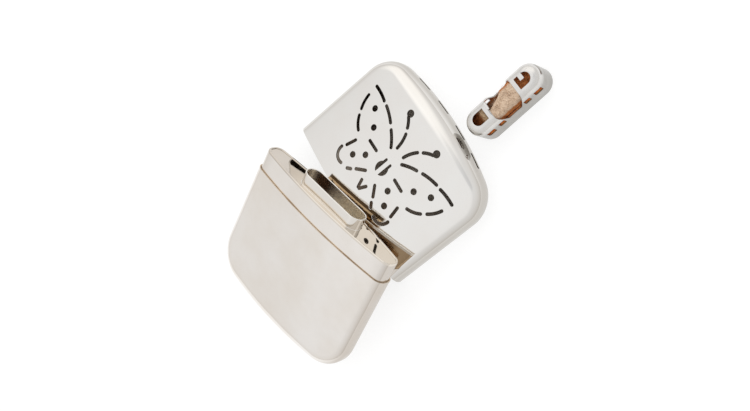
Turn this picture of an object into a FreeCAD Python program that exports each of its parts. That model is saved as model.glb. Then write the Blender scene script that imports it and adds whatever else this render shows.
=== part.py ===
import FreeCAD, Part
import Sketcher
import math
import os

# Catalytic pocket hand warmer, taken apart on a table. The lid lies on its back, the fuel tank
# leans on the lid's mouth, and the burner stands on its skirt beyond the lid's closed end.
#
# Millimetres and degrees. The tank and the lid are each modelled mouth up: the mouth lies in the
# plane z = 0, the closed end below it and the front towards -Y. The burner is modelled as it
# stands. Every piece is then placed on the table, which is the plane z = 0 of the whole object.

SIZES = {
    # sheet metal
    "wall": 0.5,
    # fuel tank
    "tank_width": 68.0,
    "tank_thickness": 13.4,
    "tank_depth": 46.6,
    "tank_crown_rise": 2.97,
    "tank_corner_radius": 13.0,
    "tank_bow_rise": 3.0,
    "tank_edge_radius": 3.7,
    # collar in the tank's mouth, which the lid slides over
    "collar_inset": 0.6,
    "collar_height": 7.9,
    "collar_overlap": 6.0,
    # top plate and filler neck
    "plate_thickness": 0.5,
    "plate_recess": 0.3,
    "plate_rim": 0.9,
    "plate_rim_round": 0.35,
    "neck_length": 29.6,
    "neck_width": 7.6,
    "neck_height": 4.2,
    "neck_root": 2.0,
    "neck_lip_bevel": 0.15,
    "flange_width": 1.2,
    "flange_thickness": 0.4,
    "neck_seat_gap": 0.05,
    # felt and cotton packing inside the tank
    "felt_thickness": 2.0,
    "packing_gap": 0.3,
    "packing_slack": 1.15,
    # lid
    "lid_proud": 0.2,
    "lid_depth": 48.4,
    "lid_corner_radius": 12.2,
    "lid_bow_rise": 4.81,
    "lid_edge_radius": 4.0,
    "butterfly_middle": 20.2,
    "butterfly_half_span": 26.0,
    "vent_slot_width": 1.18,
    "vent_dot_diameter": 2.3,
    "antenna_dot_diameter": 2.75,
    "top_vent_width": 1.3,
    "top_vent_length": 6.2,
    "top_vent_pitch": 11.2,
    # burner cap
    "burner_end_gap": 0.5,
    "burner_side_gap": 0.65,
    "burner_height": 12.0,
    "burner_edge_radius": 3.1,
    "end_window_margin": 3.4,
    "end_window_length": 5.2,
    "end_window_width": 4.4,
    "tongue_inset": 0.5,
    "tongue_width": 1.7,
    "tongue_length": 2.1,
    "middle_window_width": 11.0,
    "middle_window_foot": 5.4,
    "middle_window_sill": 6.2,
    "side_slot_near": 4.4,
    "side_slot_inner_width": 2.5,
    "side_post_width": 1.9,
    "side_slot_outer_width": 3.2,
    "side_slot_sill": 5.45,
    "side_slot_height": 3.1,
    "end_slot_width": 4.4,
    "end_slot_height": 1.1,
    "end_slot_sill": 9.0,
    "tab_near": 0.3,
    "tab_width": 2.7,
    "tab_drop": 0.8,
    # burner tray, gauze and catalyst wool
    "socket_slack": 0.4,
    "tray_height": 1.1,
    "tray_gap": 0.05,
    "tray_ledge": 2.2,
    "gauze_thickness": 0.3,
    "wool_gap": 0.3,
    # how the pieces lie on the table
    "tank_offset_x": 3.0,
    "tank_offset_y": -7.8,
    "tank_yaw_angle": 16.8,
    "tank_roll_angle": 2.5,
    "lean_gap": 0.3,
    "burner_offset_x": 7.43,
    "burner_distance": 19.4,
    "burner_yaw_angle": 92.9,
}

# The butterfly of vents in the lid's front, right half; the left half mirrors it. Everything is in
# shares of the butterfly's half span, from the middle of its body.
# Each stroke: start x, start height, end x, end height, bulge to the left of its direction.
BUTTERFLY_STROKES = [
    (0.319, 0.681, 0.208, 0.588, -0.006),
    (0.154, 0.523, 0.081, 0.319, -0.012),
    (0.144, 0.246, 0.340, 0.377, 0.008),
    (0.427, 0.423, 0.660, 0.496, 0.008),
    (0.742, 0.504, 0.992, 0.515, 0.010),
    (0.973, 0.354, 0.885, 0.162, 0.012),
    (0.829, 0.088, 0.662, -0.031, 0.013),
    (0.423, 0.038, 0.248, 0.044, 0.000),
    (0.571, -0.138, 0.606, -0.285, 0.000),
    (0.638, -0.360, 0.454, -0.492, 0.062),
    (0.331, -0.454, 0.285, -0.412, 0.000),
    (0.235, -0.346, 0.127, -0.238, 0.000),
    (0.058, -0.354, 0.013, -0.454, 0.000),
]
BUTTERFLY_DOTS = [(0.338, 0.731), (0.746, 0.335), (0.537, 0.181), (0.304, -0.123), (0.433, -0.281)]
# Slit each side of the butterfly's body, a half-moon that runs out into a thin neck: inner x, lower
# height, upper height, the half-moon's bulge, the neck's width, and the height where the neck starts.
BUTTERFLY_BODY = (0.0327, -0.119, 0.119, 0.0673, 0.0365, 0.050)

doc = FreeCAD.newDocument("HandWarmer")
sheet = doc.addObject("Spreadsheet::Sheet", "Sizes")
for row, (alias, value) in enumerate(SIZES.items(), start=1):
    sheet.set("A%d" % row, alias)
    sheet.set("B%d" % row, str(value))
    sheet.setAlias("B%d" % row, alias)
doc.recompute()


def size(alias):
    """One driving dimension."""
    return float(sheet.get(alias))


def number(expression):
    """What an expression of the sheet's aliases comes to."""
    return float(sheet.evalExpression(expression))


def bound(expression):
    """The same expression with each alias addressed on the sheet."""
    words = expression.split(" ")
    return " ".join("Sizes." + word if word in SIZES else word for word in words)


def arch(width, rise):
    """The radius of an arc that rises by a height over a width."""
    return "( ( ( " + width + " / 2 ) ^ 2 + " + rise + " ^ 2 ) / ( 2 * " + rise + " ) )"


def side_limited(radius, thickness, rise):
    """An edge radius, held to what the height of a shell's side has room for."""
    return "min( " + radius + " ; 1.1 * ( " + thickness + " / 2 - " + rise + " ) )"


TANK_CROWN = arch("tank_width", "tank_crown_rise")
TANK_BOW = arch("tank_width", "tank_bow_rise")
TANK_EDGE = side_limited("tank_edge_radius", "tank_thickness", "tank_crown_rise")
LID_WIDTH = "( tank_width + 2 * lid_proud )"
LID_THICKNESS = "( tank_thickness + 2 * lid_proud )"
LID_CROWN = arch(LID_WIDTH, "tank_crown_rise")
LID_BOW = arch(LID_WIDTH, "lid_bow_rise")
LID_EDGE = side_limited("lid_edge_radius", LID_THICKNESS, "tank_crown_rise")
BURNER_LENGTH = "( neck_length + 2 * ( wall + burner_end_gap ) )"
BURNER_WIDTH = "( neck_width + 2 * ( wall + burner_side_gap ) )"
SOCKET_DEPTH = "( neck_height + socket_slack )"


# ---------------------------------------------------------------- sketches

ORIGIN = (-1, 1)


def sketch_on(body, name, role, height=None):
    """A sketch on one of the body's own origin planes, raised by an expression if given."""
    plane = next(item for item in body.Origin.OriginFeatures if item.Role == role)
    sketch = body.newObject("Sketcher::SketchObject", body.Label + "_" + name)
    sketch.AttachmentSupport = [(plane, "")]
    sketch.MapMode = "FlatFace"
    if height is not None:
        sketch.setExpression("AttachmentOffset.Base.z", bound(height))
    return sketch


def fix(sketch, kind, *where):
    sketch.addConstraint(Sketcher.Constraint(kind, *where))


def on_upright_axis(sketch, rounded):
    """Centres an arc on the sketch's vertical axis."""
    fix(sketch, "PointOnObject", rounded, 3, -2)


def on_level_axis(sketch, rounded):
    """Centres an arc on the sketch's horizontal axis."""
    fix(sketch, "PointOnObject", rounded, 3, -1)


def drive(sketch, kind, expression, *where):
    """A dimension bound to the sheet."""
    index = sketch.addConstraint(Sketcher.Constraint(kind, *where, number(expression)))
    sketch.renameConstraint(index, "Size%d" % index)
    sketch.setExpression("Constraints.Size%d" % index, bound(expression))


def arc(sketch, centre, radius, start, end):
    circle = Part.Circle(FreeCAD.Vector(centre[0], centre[1], 0), FreeCAD.Vector(0, 0, 1), radius)
    return sketch.addGeometry(Part.ArcOfCircle(circle, start, end))


def line(sketch, start, end):
    first = FreeCAD.Vector(start[0], start[1], 0)
    last = FreeCAD.Vector(end[0], end[1], 0)
    return sketch.addGeometry(Part.LineSegment(first, last))


def crowned_outline(sketch, width, thickness, crown):
    """Two shallow crown arcs, front and back, joined by straight ends."""
    a, b, r = number(width) / 2, number(thickness) / 2, number(crown)
    half = math.asin(a / r)
    end = math.sqrt(r * r - a * a) - (r - b)
    front = arc(sketch, (0, r - b), r, 1.5 * math.pi - half, 1.5 * math.pi + half)
    right = line(sketch, (a, -end), (a, end))
    back = arc(sketch, (0, b - r), r, 0.5 * math.pi - half, 0.5 * math.pi + half)
    left = line(sketch, (-a, end), (-a, -end))
    for first, second in ((front, right), (right, back), (back, left), (left, front)):
        fix(sketch, "Coincident", first, 2, second, 1)
    fix(sketch, "Vertical", right)
    fix(sketch, "Vertical", left)
    on_upright_axis(sketch, front)
    fix(sketch, "Symmetric", front, 3, back, 3, *ORIGIN)
    fix(sketch, "Equal", front, back)
    drive(sketch, "Radius", crown, front)
    drive(sketch, "DistanceY", crown + " - ( " + thickness + " ) / 2", *ORIGIN, front, 3)
    drive(sketch, "DistanceX", "( " + width + " ) / 2", *ORIGIN, right, 1)
    drive(sketch, "DistanceX", "( " + width + " ) / 2", left, 1, *ORIGIN)


def oval_outline(sketch, width, thickness, crown, edge):
    """The crowned outline with its four corners rounded."""
    a, b, r, e = number(width) / 2, number(thickness) / 2, number(crown), number(edge)
    corner_y = math.sqrt((r - e) ** 2 - (a - e) ** 2) - (r - b)
    lean = math.atan2(corner_y + r - b, a - e)
    front = arc(sketch, (0, r - b), r, 2 * math.pi - (math.pi - lean), 2 * math.pi - lean)
    front_right = arc(sketch, (a - e, -corner_y), e, -lean, 0)
    right = line(sketch, (a, -corner_y), (a, corner_y))
    back_right = arc(sketch, (a - e, corner_y), e, 0, lean)
    back = arc(sketch, (0, b - r), r, lean, math.pi - lean)
    back_left = arc(sketch, (e - a, corner_y), e, math.pi - lean, math.pi)
    left = line(sketch, (-a, corner_y), (-a, -corner_y))
    front_left = arc(sketch, (e - a, -corner_y), e, math.pi, math.pi + lean)
    ring = (front, front_right, right, back_right, back, back_left, left, front_left)
    for first, second in zip(ring, ring[1:] + ring[:1]):
        fix(sketch, "Tangent", first, 2, second, 1)
    fix(sketch, "Vertical", right)
    fix(sketch, "Vertical", left)
    on_upright_axis(sketch, front)
    fix(sketch, "Symmetric", front, 3, back, 3, *ORIGIN)
    fix(sketch, "Equal", front, back)
    for corner in (back_right, back_left, front_left):
        fix(sketch, "Equal", front_right, corner)
    drive(sketch, "Radius", crown, front)
    drive(sketch, "DistanceY", crown + " - ( " + thickness + " ) / 2", *ORIGIN, front, 3)
    drive(sketch, "Radius", edge, front_right)
    drive(sketch, "DistanceX", "( " + width + " ) / 2", *ORIGIN, right, 1)
    drive(sketch, "DistanceX", "( " + width + " ) / 2", left, 1, *ORIGIN)


def place_x(sketch, expression, geometry, point):
    """Holds a point at a signed distance across from the origin."""
    if number(expression) < 0:
        drive(sketch, "DistanceX", "- 1 * ( " + expression + " )", geometry, point, *ORIGIN)
    else:
        drive(sketch, "DistanceX", expression, *ORIGIN, geometry, point)


def place_y(sketch, expression, geometry, point):
    """Holds a point at a signed height from the origin."""
    if number(expression) < 0:
        drive(sketch, "DistanceY", "- 1 * ( " + expression + " )", geometry, point, *ORIGIN)
    else:
        drive(sketch, "DistanceY", expression, *ORIGIN, geometry, point)


def rectangle(sketch, left, right, low, high):
    """A rectangle between four signed distances from the origin."""
    x0, x1, y0, y1 = (number(item) for item in (left, right, low, high))
    corners = [(x0, y0), (x1, y0), (x1, y1), (x0, y1)]
    sides = [line(sketch, corners[i], corners[(i + 1) % 4]) for i in range(4)]
    for first, second in zip(sides, sides[1:] + sides[:1]):
        fix(sketch, "Coincident", first, 2, second, 1)
    fix(sketch, "Horizontal", sides[0])
    fix(sketch, "Horizontal", sides[2])
    fix(sketch, "Vertical", sides[1])
    fix(sketch, "Vertical", sides[3])
    place_x(sketch, left, sides[0], 1)
    place_x(sketch, right, sides[1], 1)
    place_y(sketch, low, sides[0], 1)
    place_y(sketch, high, sides[2], 1)


def hole(sketch, centre, radius):
    """A round hole."""
    middle = FreeCAD.Vector(centre[0], centre[1], 0)
    circle = Part.Circle(middle, FreeCAD.Vector(0, 0, 1), number(radius))
    index = sketch.addGeometry(circle)
    drive(sketch, "Radius", radius, index)


def stadium_outline(sketch, length, width):
    """Straight sides and round ends."""
    radius = number(width) / 2
    reach = number(length) / 2 - radius
    right = arc(sketch, (reach, 0), radius, -0.5 * math.pi, 0.5 * math.pi)
    back = line(sketch, (reach, radius), (-reach, radius))
    left = arc(sketch, (-reach, 0), radius, 0.5 * math.pi, 1.5 * math.pi)
    front = line(sketch, (-reach, -radius), (reach, -radius))
    ring = (right, back, left, front)
    for first, second in zip(ring, ring[1:] + ring[:1]):
        fix(sketch, "Tangent", first, 2, second, 1)
    fix(sketch, "Equal", right, left)
    on_level_axis(sketch, right)
    on_level_axis(sketch, left)
    drive(sketch, "Radius", "( " + width + " ) / 2", right)
    reach_of = "( " + length + " ) / 2 - ( " + width + " ) / 2"
    drive(sketch, "DistanceX", reach_of, *ORIGIN, right, 3)
    drive(sketch, "DistanceX", reach_of, left, 3, *ORIGIN)


def closed_end_waste(sketch, width, depth, bow, corner):
    """What is cut away below a shell's bowed end and round its two corners."""
    a, h, b, c = number(width) / 2, number(depth), number(bow), number(corner)
    margin = 5.0
    corner_y = (b - h) - math.sqrt((b - c) ** 2 - (a - c) ** 2)
    lean = math.atan2(corner_y - (b - h), a - c)
    base = arc(sketch, (0, b - h), b, -math.pi - lean, lean)
    right = arc(sketch, (a - c, corner_y), c, lean, 0)
    left = arc(sketch, (c - a, corner_y), c, math.pi, math.pi - lean)
    out_x, out_y = a + margin, -h - margin
    points = [(a, corner_y), (out_x, corner_y), (out_x, out_y), (-out_x, out_y),
              (-out_x, corner_y), (-a, corner_y)]
    sides = [line(sketch, points[i], points[i + 1]) for i in range(5)]
    fix(sketch, "Tangent", base, 2, right, 1)
    fix(sketch, "Tangent", left, 2, base, 1)
    chain = [right] + sides + [left]
    for first, second in zip(chain, chain[1:]):
        fix(sketch, "Coincident", first, 2, second, 1)
    for side in (sides[0], sides[2], sides[4]):
        fix(sketch, "Horizontal", side)
    for side in (sides[1], sides[3]):
        fix(sketch, "Vertical", side)
    on_upright_axis(sketch, base)
    fix(sketch, "Equal", right, left)
    fix(sketch, "Horizontal", right, 3, right, 2)
    fix(sketch, "Horizontal", left, 3, left, 1)
    drive(sketch, "Radius", bow, base)
    drive(sketch, "DistanceY", bow + " - ( " + depth + " )", *ORIGIN, base, 3)
    drive(sketch, "Radius", corner, right)
    drive(sketch, "DistanceX", "( " + width + " ) / 2", *ORIGIN, right, 2)
    drive(sketch, "DistanceX", "( " + width + " ) / 2", left, 1, *ORIGIN)
    drive(sketch, "DistanceX", "%g" % margin, right, 2, sides[1], 1)
    drive(sketch, "DistanceX", "%g" % margin, sides[3], 1, left, 1)
    drive(sketch, "DistanceY", depth + " + %g" % margin, sides[2], 1, *ORIGIN)


# ---------------------------------------------------------------- features

def new_body(label):
    return doc.addObject("PartDesign::Body", label)


def pad(body, sketch, length, down=False):
    feature = body.newObject("PartDesign::Pad", sketch.Label + "_pad")
    feature.Profile = sketch
    feature.setExpression("Length", bound(length))
    feature.Reversed = down
    doc.recompute()
    return feature


def pocket(body, sketch, length=None, backwards=False, both=False):
    """Cuts along the sketch's normal, reversed, by a length or right through."""
    feature = body.newObject("PartDesign::Pocket", sketch.Label + "_cut")
    feature.Profile = sketch
    if length is None:
        feature.Type = "ThroughAll"
    else:
        feature.setExpression("Length", bound(length))
    feature.Midplane = both
    feature.Reversed = backwards
    before = feature.BaseFeature.Shape.Volume
    doc.recompute()
    if not feature.Shape.Volume < before:
        raise RuntimeError(feature.Label + " cuts nothing")
    return feature


def edge_feature(body, kind, suffix, picks):
    """A feature on the edges of the body's tip whose middle point passes the test."""
    base = body.Tip
    names = []
    for index, edge in enumerate(base.Shape.Edges, start=1):
        middle = edge.valueAt((edge.FirstParameter + edge.LastParameter) / 2)
        if picks(middle, edge):
            names.append("Edge%d" % index)
    feature = body.newObject(kind, body.Label + suffix)
    feature.Base = (base, names)
    return feature


def round_edges(body, radius, picks):
    feature = edge_feature(body, "PartDesign::Fillet", "_round", picks)
    feature.setExpression("Radius", bound(radius))
    doc.recompute()
    return feature


def bevel_edges(body, width, picks):
    feature = edge_feature(body, "PartDesign::Chamfer", "_bevel", picks)
    feature.setExpression("Size", bound(width))
    doc.recompute()
    return feature


def hollow(body, wall, opening):
    """Leaves a wall inside the tip's faces and opens the faces that pass the test."""
    base = body.Tip
    names = []
    for index, face in enumerate(base.Shape.Faces, start=1):
        if opening(face):
            names.append("Face%d" % index)
    feature = body.newObject("PartDesign::Thickness", body.Label + "_hollow")
    feature.Base = (base, names)
    feature.setExpression("Value", bound(wall))
    feature.Reversed = True
    doc.recompute()
    return feature


def on_level(shape_part, level):
    box = shape_part.BoundBox
    return abs(box.ZMin - level) < 0.001 and abs(box.ZMax - level) < 0.001


def closed_form(label, width, thickness, depth, crown, corner, bow, top=None, side=None):
    """A closed oblong form with crowned faces, a bowed end and rounded corners."""
    body = new_body(label)
    outline = sketch_on(body, "outline", "XY_Plane", top)
    if side is None:
        crowned_outline(outline, width, thickness, crown)
    else:
        oval_outline(outline, width, thickness, crown, side)
    pad(body, outline, depth if top is None else depth + " + " + top, down=True)
    waste = sketch_on(body, "end", "XZ_Plane")
    closed_end_waste(waste, width, depth, bow, corner)
    pocket(body, waste, both=True)
    return body


def drawn_shell(label, width, thickness, depth, crown, corner, bow, edge):
    """A deep-drawn shell of the sheet's wall, round-edged and open at its mouth."""
    body = closed_form(label, width, thickness, depth, crown, corner, bow)
    round_edges(body, edge, lambda middle, side: abs(middle.y) > 0.001 and not on_level(side, 0.0))
    hollow(body, "wall", lambda face: on_level(face, 0.0))
    return body


def skin(body):
    """The solid form inside a shell's outer surface, before it was hollowed and pierced."""
    return next(item for item in body.Group if item.Label == body.Label + "_round").Shape.copy()


# ---------------------------------------------------------------- fuel tank

def make_tank_shell():
    """The deep-drawn lower case."""
    return drawn_shell("tank_shell", "tank_width", "tank_thickness", "tank_depth", TANK_CROWN,
                       "tank_corner_radius", TANK_BOW, TANK_EDGE)


COLLAR_WIDTH = "( tank_width - 2 * collar_inset )"
COLLAR_THICKNESS = "( tank_thickness - 2 * collar_inset )"
COLLAR_CROWN = "( " + TANK_CROWN + " - collar_inset )"
COLLAR_EDGE = "( " + TANK_EDGE + " - collar_inset )"
PLATE_UNDERSIDE = "collar_height - plate_recess - plate_thickness"
NECK_BOTTOM = PLATE_UNDERSIDE + " - neck_root"


def inset(expression, amount):
    return "( " + expression + " - " + amount + " )"


def inset_oval(sketch, amount):
    """The collar's outline moved in by a distance all round."""
    oval_outline(sketch, inset(COLLAR_WIDTH, "2 * " + amount), inset(COLLAR_THICKNESS, "2 * " + amount),
                 inset(COLLAR_CROWN, amount), inset(COLLAR_EDGE, amount))


def make_collar():
    """A straight oval sleeve, tucked into the tank's mouth and standing out above it."""
    body = new_body("collar_sleeve")
    ring = sketch_on(body, "ring", "XY_Plane", "- collar_overlap")
    oval_outline(ring, COLLAR_WIDTH, COLLAR_THICKNESS, COLLAR_CROWN, COLLAR_EDGE)
    inset_oval(ring, "wall")
    pad(body, ring, "collar_overlap + " + PLATE_UNDERSIDE)
    return body


def make_top_plate():
    """The plate that closes the collar, with a raised rolled rim and a hole for the neck."""
    body = new_body("top_plate")
    disc = sketch_on(body, "disc", "XY_Plane", PLATE_UNDERSIDE)
    oval_outline(disc, COLLAR_WIDTH, COLLAR_THICKNESS, COLLAR_CROWN, COLLAR_EDGE)
    pad(body, disc, "plate_thickness + plate_recess")
    top = number("collar_height")
    round_edges(body, "plate_rim_round", lambda middle, edge: on_level(edge, top))
    dish = sketch_on(body, "dish", "XY_Plane", "collar_height")
    inset_oval(dish, "plate_rim")
    pocket(body, dish, "plate_recess")
    opening = sketch_on(body, "neck_hole", "XY_Plane", "collar_height")
    stadium_outline(opening, "neck_length + 2 * neck_seat_gap", "neck_width + 2 * neck_seat_gap")
    pocket(body, opening)
    return body


def make_neck():
    """The oblong filler neck: a tube through the plate, held by a flange under it."""
    body = new_body("filler_neck")
    tube = sketch_on(body, "tube", "XY_Plane", NECK_BOTTOM)
    stadium_outline(tube, "neck_length", "neck_width")
    pad(body, tube, "neck_root + plate_thickness + plate_recess + neck_height")
    flange = sketch_on(body, "flange", "XY_Plane", PLATE_UNDERSIDE + " - flange_thickness")
    stadium_outline(flange, "neck_length + 2 * flange_width", "neck_width + 2 * flange_width")
    pad(body, flange, "flange_thickness")
    bore = sketch_on(body, "bore", "XY_Plane", NECK_BOTTOM)
    stadium_outline(bore, "neck_length - 2 * wall", "neck_width - 2 * wall")
    pocket(body, bore, backwards=True)
    mouth = number("collar_height + neck_height")
    bevel_edges(body, "neck_lip_bevel", lambda middle, edge: on_level(edge, mouth))
    return body


def make_felt():
    """The felt that keeps the cotton out of the neck."""
    body = new_body("felt_pad")
    outline = sketch_on(body, "outline", "XY_Plane", NECK_BOTTOM + " - packing_gap - felt_thickness")
    stadium_outline(outline, "neck_length + 2 * flange_width", "neck_width + 2 * flange_width")
    pad(body, outline, "felt_thickness")
    return body


PACKING_WIDTH = "( tank_width - 2 * wall - 2 * packing_slack )"
PACKING_SHARE = "( ( " + PACKING_WIDTH + " - 2 * packing_gap ) / 6 )"


def make_packing_pad(label, place):
    """One of three cotton pads packed side by side; place is -1, 0 or 1 across the tank."""
    body = closed_form(label, PACKING_WIDTH,
                       "( tank_thickness - 2 * ( wall + packing_slack ) )",
                       "( tank_depth - wall - packing_slack )",
                       "( " + TANK_CROWN + " - wall - packing_slack )",
                       "( tank_corner_radius - wall - packing_slack )",
                       "( " + TANK_BOW + " - wall - packing_slack )",
                       top="( " + NECK_BOTTOM + " - 2 * packing_gap - felt_thickness )",
                       side="( " + TANK_EDGE + " - wall - packing_slack )")
    edge_of = PACKING_SHARE if place == 0 else "( " + PACKING_SHARE + " + packing_gap )"
    cut = sketch_on(body, "share", "XY_Plane", "tank_depth")
    if place == 0:
        rectangle(cut, edge_of, "tank_width", "- tank_width", "tank_width")
        rectangle(cut, "- tank_width", "- " + edge_of, "- tank_width", "tank_width")
    elif place > 0:
        rectangle(cut, "- tank_width", edge_of, "- tank_width", "tank_width")
    else:
        rectangle(cut, "- " + edge_of, "tank_width", "- tank_width", "tank_width")
    pocket(body, cut)
    return body


# ---------------------------------------------------------------- lid

def stroke(sketch, start, end, bulge, width):
    """A round-ended slot along a line, or along an arc where it bulges."""
    half = width / 2
    run = (end[0] - start[0], end[1] - start[1])
    length = math.hypot(*run)
    if abs(bulge) < 0.001:
        turn = math.atan2(run[1], run[0])
        side = (-math.sin(turn) * half, math.cos(turn) * half)
        arc(sketch, end, half, turn - math.pi / 2, turn + math.pi / 2)
        arc(sketch, start, half, turn + math.pi / 2, turn + 1.5 * math.pi)
        for sign in (1, -1):
            offset = (sign * side[0], sign * side[1])
            line(sketch, (start[0] + offset[0], start[1] + offset[1]),
                 (end[0] + offset[0], end[1] + offset[1]))
        return
    radius = (length ** 2 / 4 + bulge ** 2) / (2 * abs(bulge))
    sign = 1 if bulge > 0 else -1
    left = (-run[1] / length, run[0] / length)
    middle = ((start[0] + end[0]) / 2, (start[1] + end[1]) / 2)
    drop = sign * (radius - abs(bulge))
    centre = (middle[0] - left[0] * drop, middle[1] - left[1] * drop)
    first, last = (end, start) if sign > 0 else (start, end)
    low = math.atan2(first[1] - centre[1], first[0] - centre[0])
    high = math.atan2(last[1] - centre[1], last[0] - centre[0])
    if high < low:
        high += 2 * math.pi
    arc(sketch, centre, radius + half, low, high)
    arc(sketch, centre, radius - half, low, high)
    arc(sketch, last, half, high, high + math.pi)
    arc(sketch, first, half, low - math.pi, low)


def body_slit(sketch, side, rise, inner, low, high, bulge, neck, start):
    """A half-moon, straight towards the middle, that runs out into a thin round-ended neck."""
    # the bow's circle passes through (0, low) and (neck, start) and reaches out to the bulge
    out, back = bulge, bulge - neck
    square = back - out
    linear = 2 * (out * start - back * low)
    rest = back * low ** 2 - out * start ** 2 + back * out ** 2 - out * back ** 2
    height = (-linear + math.sqrt(linear ** 2 - 4 * square * rest)) / (2 * square)
    radius = (out ** 2 + (low - height) ** 2) / (2 * out)
    middle = bulge - radius
    tip = high - neck / 2
    place = lambda x, h: (side * (inner + x), -rise - h)

    def bow(centre, size_of, first, last):
        low_turn, high_turn = (-last, -first) if side > 0 else (math.pi + first, math.pi + last)
        arc(sketch, place(*centre), size_of, low_turn, high_turn)

    bow((middle, height), radius, math.atan2(low - height, -middle), math.atan2(start - height, neck - middle))
    bow((neck / 2, tip), neck / 2, 0, math.pi)
    line(sketch, place(neck, start), place(neck, tip))
    line(sketch, place(0, tip), place(0, low))


def make_lid():
    """The lid: a drawn shell with a butterfly of vents in its front and a row in its end."""
    body = drawn_shell("lid_shell", LID_WIDTH, LID_THICKNESS, "lid_depth", LID_CROWN,
                       "lid_corner_radius", LID_BOW, LID_EDGE)
    slot = size("vent_slot_width")
    span = size("butterfly_half_span")
    middle = size("butterfly_middle")
    for side, name in ((1, "right_wing"), (-1, "left_wing")):
        wing = sketch_on(body, name, "XZ_Plane")
        for x1, h1, x2, h2, bulge in BUTTERFLY_STROKES:
            start = (side * span * x1, -middle - span * h1)
            end = (side * span * x2, -middle - span * h2)
            stroke(wing, start, end, -side * span * bulge, slot)
        body_slit(wing, side, middle, *(span * share for share in BUTTERFLY_BODY))
        pocket(body, wing, backwards=True)
    dots = sketch_on(body, "dots", "XZ_Plane")
    for index, (x, h) in enumerate(BUTTERFLY_DOTS):
        across = "antenna_dot_diameter" if index == 0 else "vent_dot_diameter"
        for side in (1, -1):
            hole(dots, (side * span * x, -middle - span * h), across + " / 2")
    pocket(body, dots, backwards=True)
    row = sketch_on(body, "end_row", "XY_Plane", "- lid_depth")
    high = size("top_vent_width")
    reach = (size("top_vent_length") - high) / 2
    for step in (-1.5, -0.5, 0.5, 1.5):
        place = step * size("top_vent_pitch")
        stroke(row, (place - reach, 0), (place + reach, 0), 0, high)
    pocket(body, row, LID_EDGE, backwards=True)
    return body


# ---------------------------------------------------------------- burner

def make_burner_cap():
    """The burner's windowed cap, open below, where it pushes over the filler neck."""
    body = new_body("burner_cap")
    outline = sketch_on(body, "outline", "XY_Plane")
    stadium_outline(outline, BURNER_LENGTH, BURNER_WIDTH)
    pad(body, outline, "burner_height")
    top = number("burner_height")
    round_edges(body, "burner_edge_radius", lambda middle, edge: on_level(edge, top))
    hollow(body, "wall", lambda face: on_level(face, 0.0))
    windows = sketch_on(body, "end_windows", "XY_Plane", "burner_height")
    for side in (1, -1):
        end_window(windows, side, tongue=side > 0)
    pocket(body, windows, "2 * wall")
    middle = sketch_on(body, "middle_window", "XZ_Plane")
    middle_window(middle)
    pocket(body, middle, both=True)
    slots = sketch_on(body, "side_slots", "XZ_Plane")
    inner_end = "( side_slot_near + side_slot_inner_width )"
    outer_start = "( side_slot_near + side_slot_inner_width + side_post_width )"
    outer_end = "( " + outer_start + " + side_slot_outer_width )"
    sill, head = "side_slot_sill", "( side_slot_sill + side_slot_height )"
    for start, end in (("side_slot_near", inner_end), (outer_start, outer_end)):
        rectangle(slots, start, end, sill, head)
        rectangle(slots, "- " + end, "- " + start, sill, head)
    pocket(body, slots, both=True)
    ends = sketch_on(body, "end_slots", "YZ_Plane")
    rectangle(ends, "- end_slot_width / 2", "end_slot_width / 2",
              "end_slot_sill", "( end_slot_sill + end_slot_height )")
    pocket(body, ends, both=True)
    tab = sketch_on(body, "tab", "XY_Plane", "burner_height")
    window_edge = "- ( middle_window_width / 2 )"
    rectangle(tab, window_edge, window_edge + " + wall", "tab_near", "( tab_near + tab_width )")
    pad(body, tab, "tab_drop", down=True)
    return body


def end_window(sketch, side, tongue):
    """A D-shaped window, round towards the cap's end; one of the two has a tongue in it."""
    far = number(BURNER_LENGTH + " / 2 - end_window_margin")
    near = far - size("end_window_length")
    half = size("end_window_width") / 2
    bend = far - half
    points = [(near, half), (near, -half), (bend, -half)]
    if tongue:
        start = near + size("tongue_inset")
        stop, tip = start + size("tongue_width"), half - size("tongue_length")
        back = [(bend, half), (stop, half), (stop, tip), (start, tip), (start, half), (near, half)]
    else:
        back = [(bend, half), (near, half)]
    for chain in (points, back):
        for first, second in zip(chain, chain[1:]):
            line(sketch, (side * first[0], first[1]), (side * second[0], second[1]))
    if side > 0:
        arc(sketch, (bend, 0), half, -math.pi / 2, math.pi / 2)
    else:
        arc(sketch, (-bend, 0), half, math.pi / 2, 1.5 * math.pi)


def middle_window(sketch):
    """The middle window, wide across the top and narrowing down both sides to its sill."""
    wide, foot = size("middle_window_width") / 2, size("middle_window_foot") / 2
    sill, top = size("middle_window_sill"), size("burner_height") + 1.0
    shoulder = size("burner_height") - size("wall")
    corners = [(-wide, top), (-wide, shoulder), (-foot, sill), (foot, sill), (wide, shoulder), (wide, top)]
    for first, second in zip(corners, corners[1:] + corners[:1]):
        line(sketch, first, second)


TRAY_LENGTH = "( " + BURNER_LENGTH + " - 2 * wall - 2 * tray_gap )"
TRAY_WIDTH = "( " + BURNER_WIDTH + " - 2 * wall - 2 * tray_gap )"


def make_burner_tray():
    """The shallow tray that carries the gauze above the socket, with one long opening."""
    body = new_body("burner_tray")
    outline = sketch_on(body, "outline", "XY_Plane", SOCKET_DEPTH)
    stadium_outline(outline, TRAY_LENGTH, TRAY_WIDTH)
    pad(body, outline, "tray_height")
    dish = sketch_on(body, "dish", "XY_Plane", SOCKET_DEPTH + " + tray_height")
    stadium_outline(dish, inset(TRAY_LENGTH, "2 * wall"), inset(TRAY_WIDTH, "2 * wall"))
    pocket(body, dish, "tray_height - wall")
    opening = sketch_on(body, "opening", "XY_Plane", SOCKET_DEPTH + " + tray_height")
    stadium_outline(opening, inset(TRAY_LENGTH, "2 * tray_ledge"), inset(TRAY_WIDTH, "2 * tray_ledge"))
    pocket(body, opening)
    return body


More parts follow.
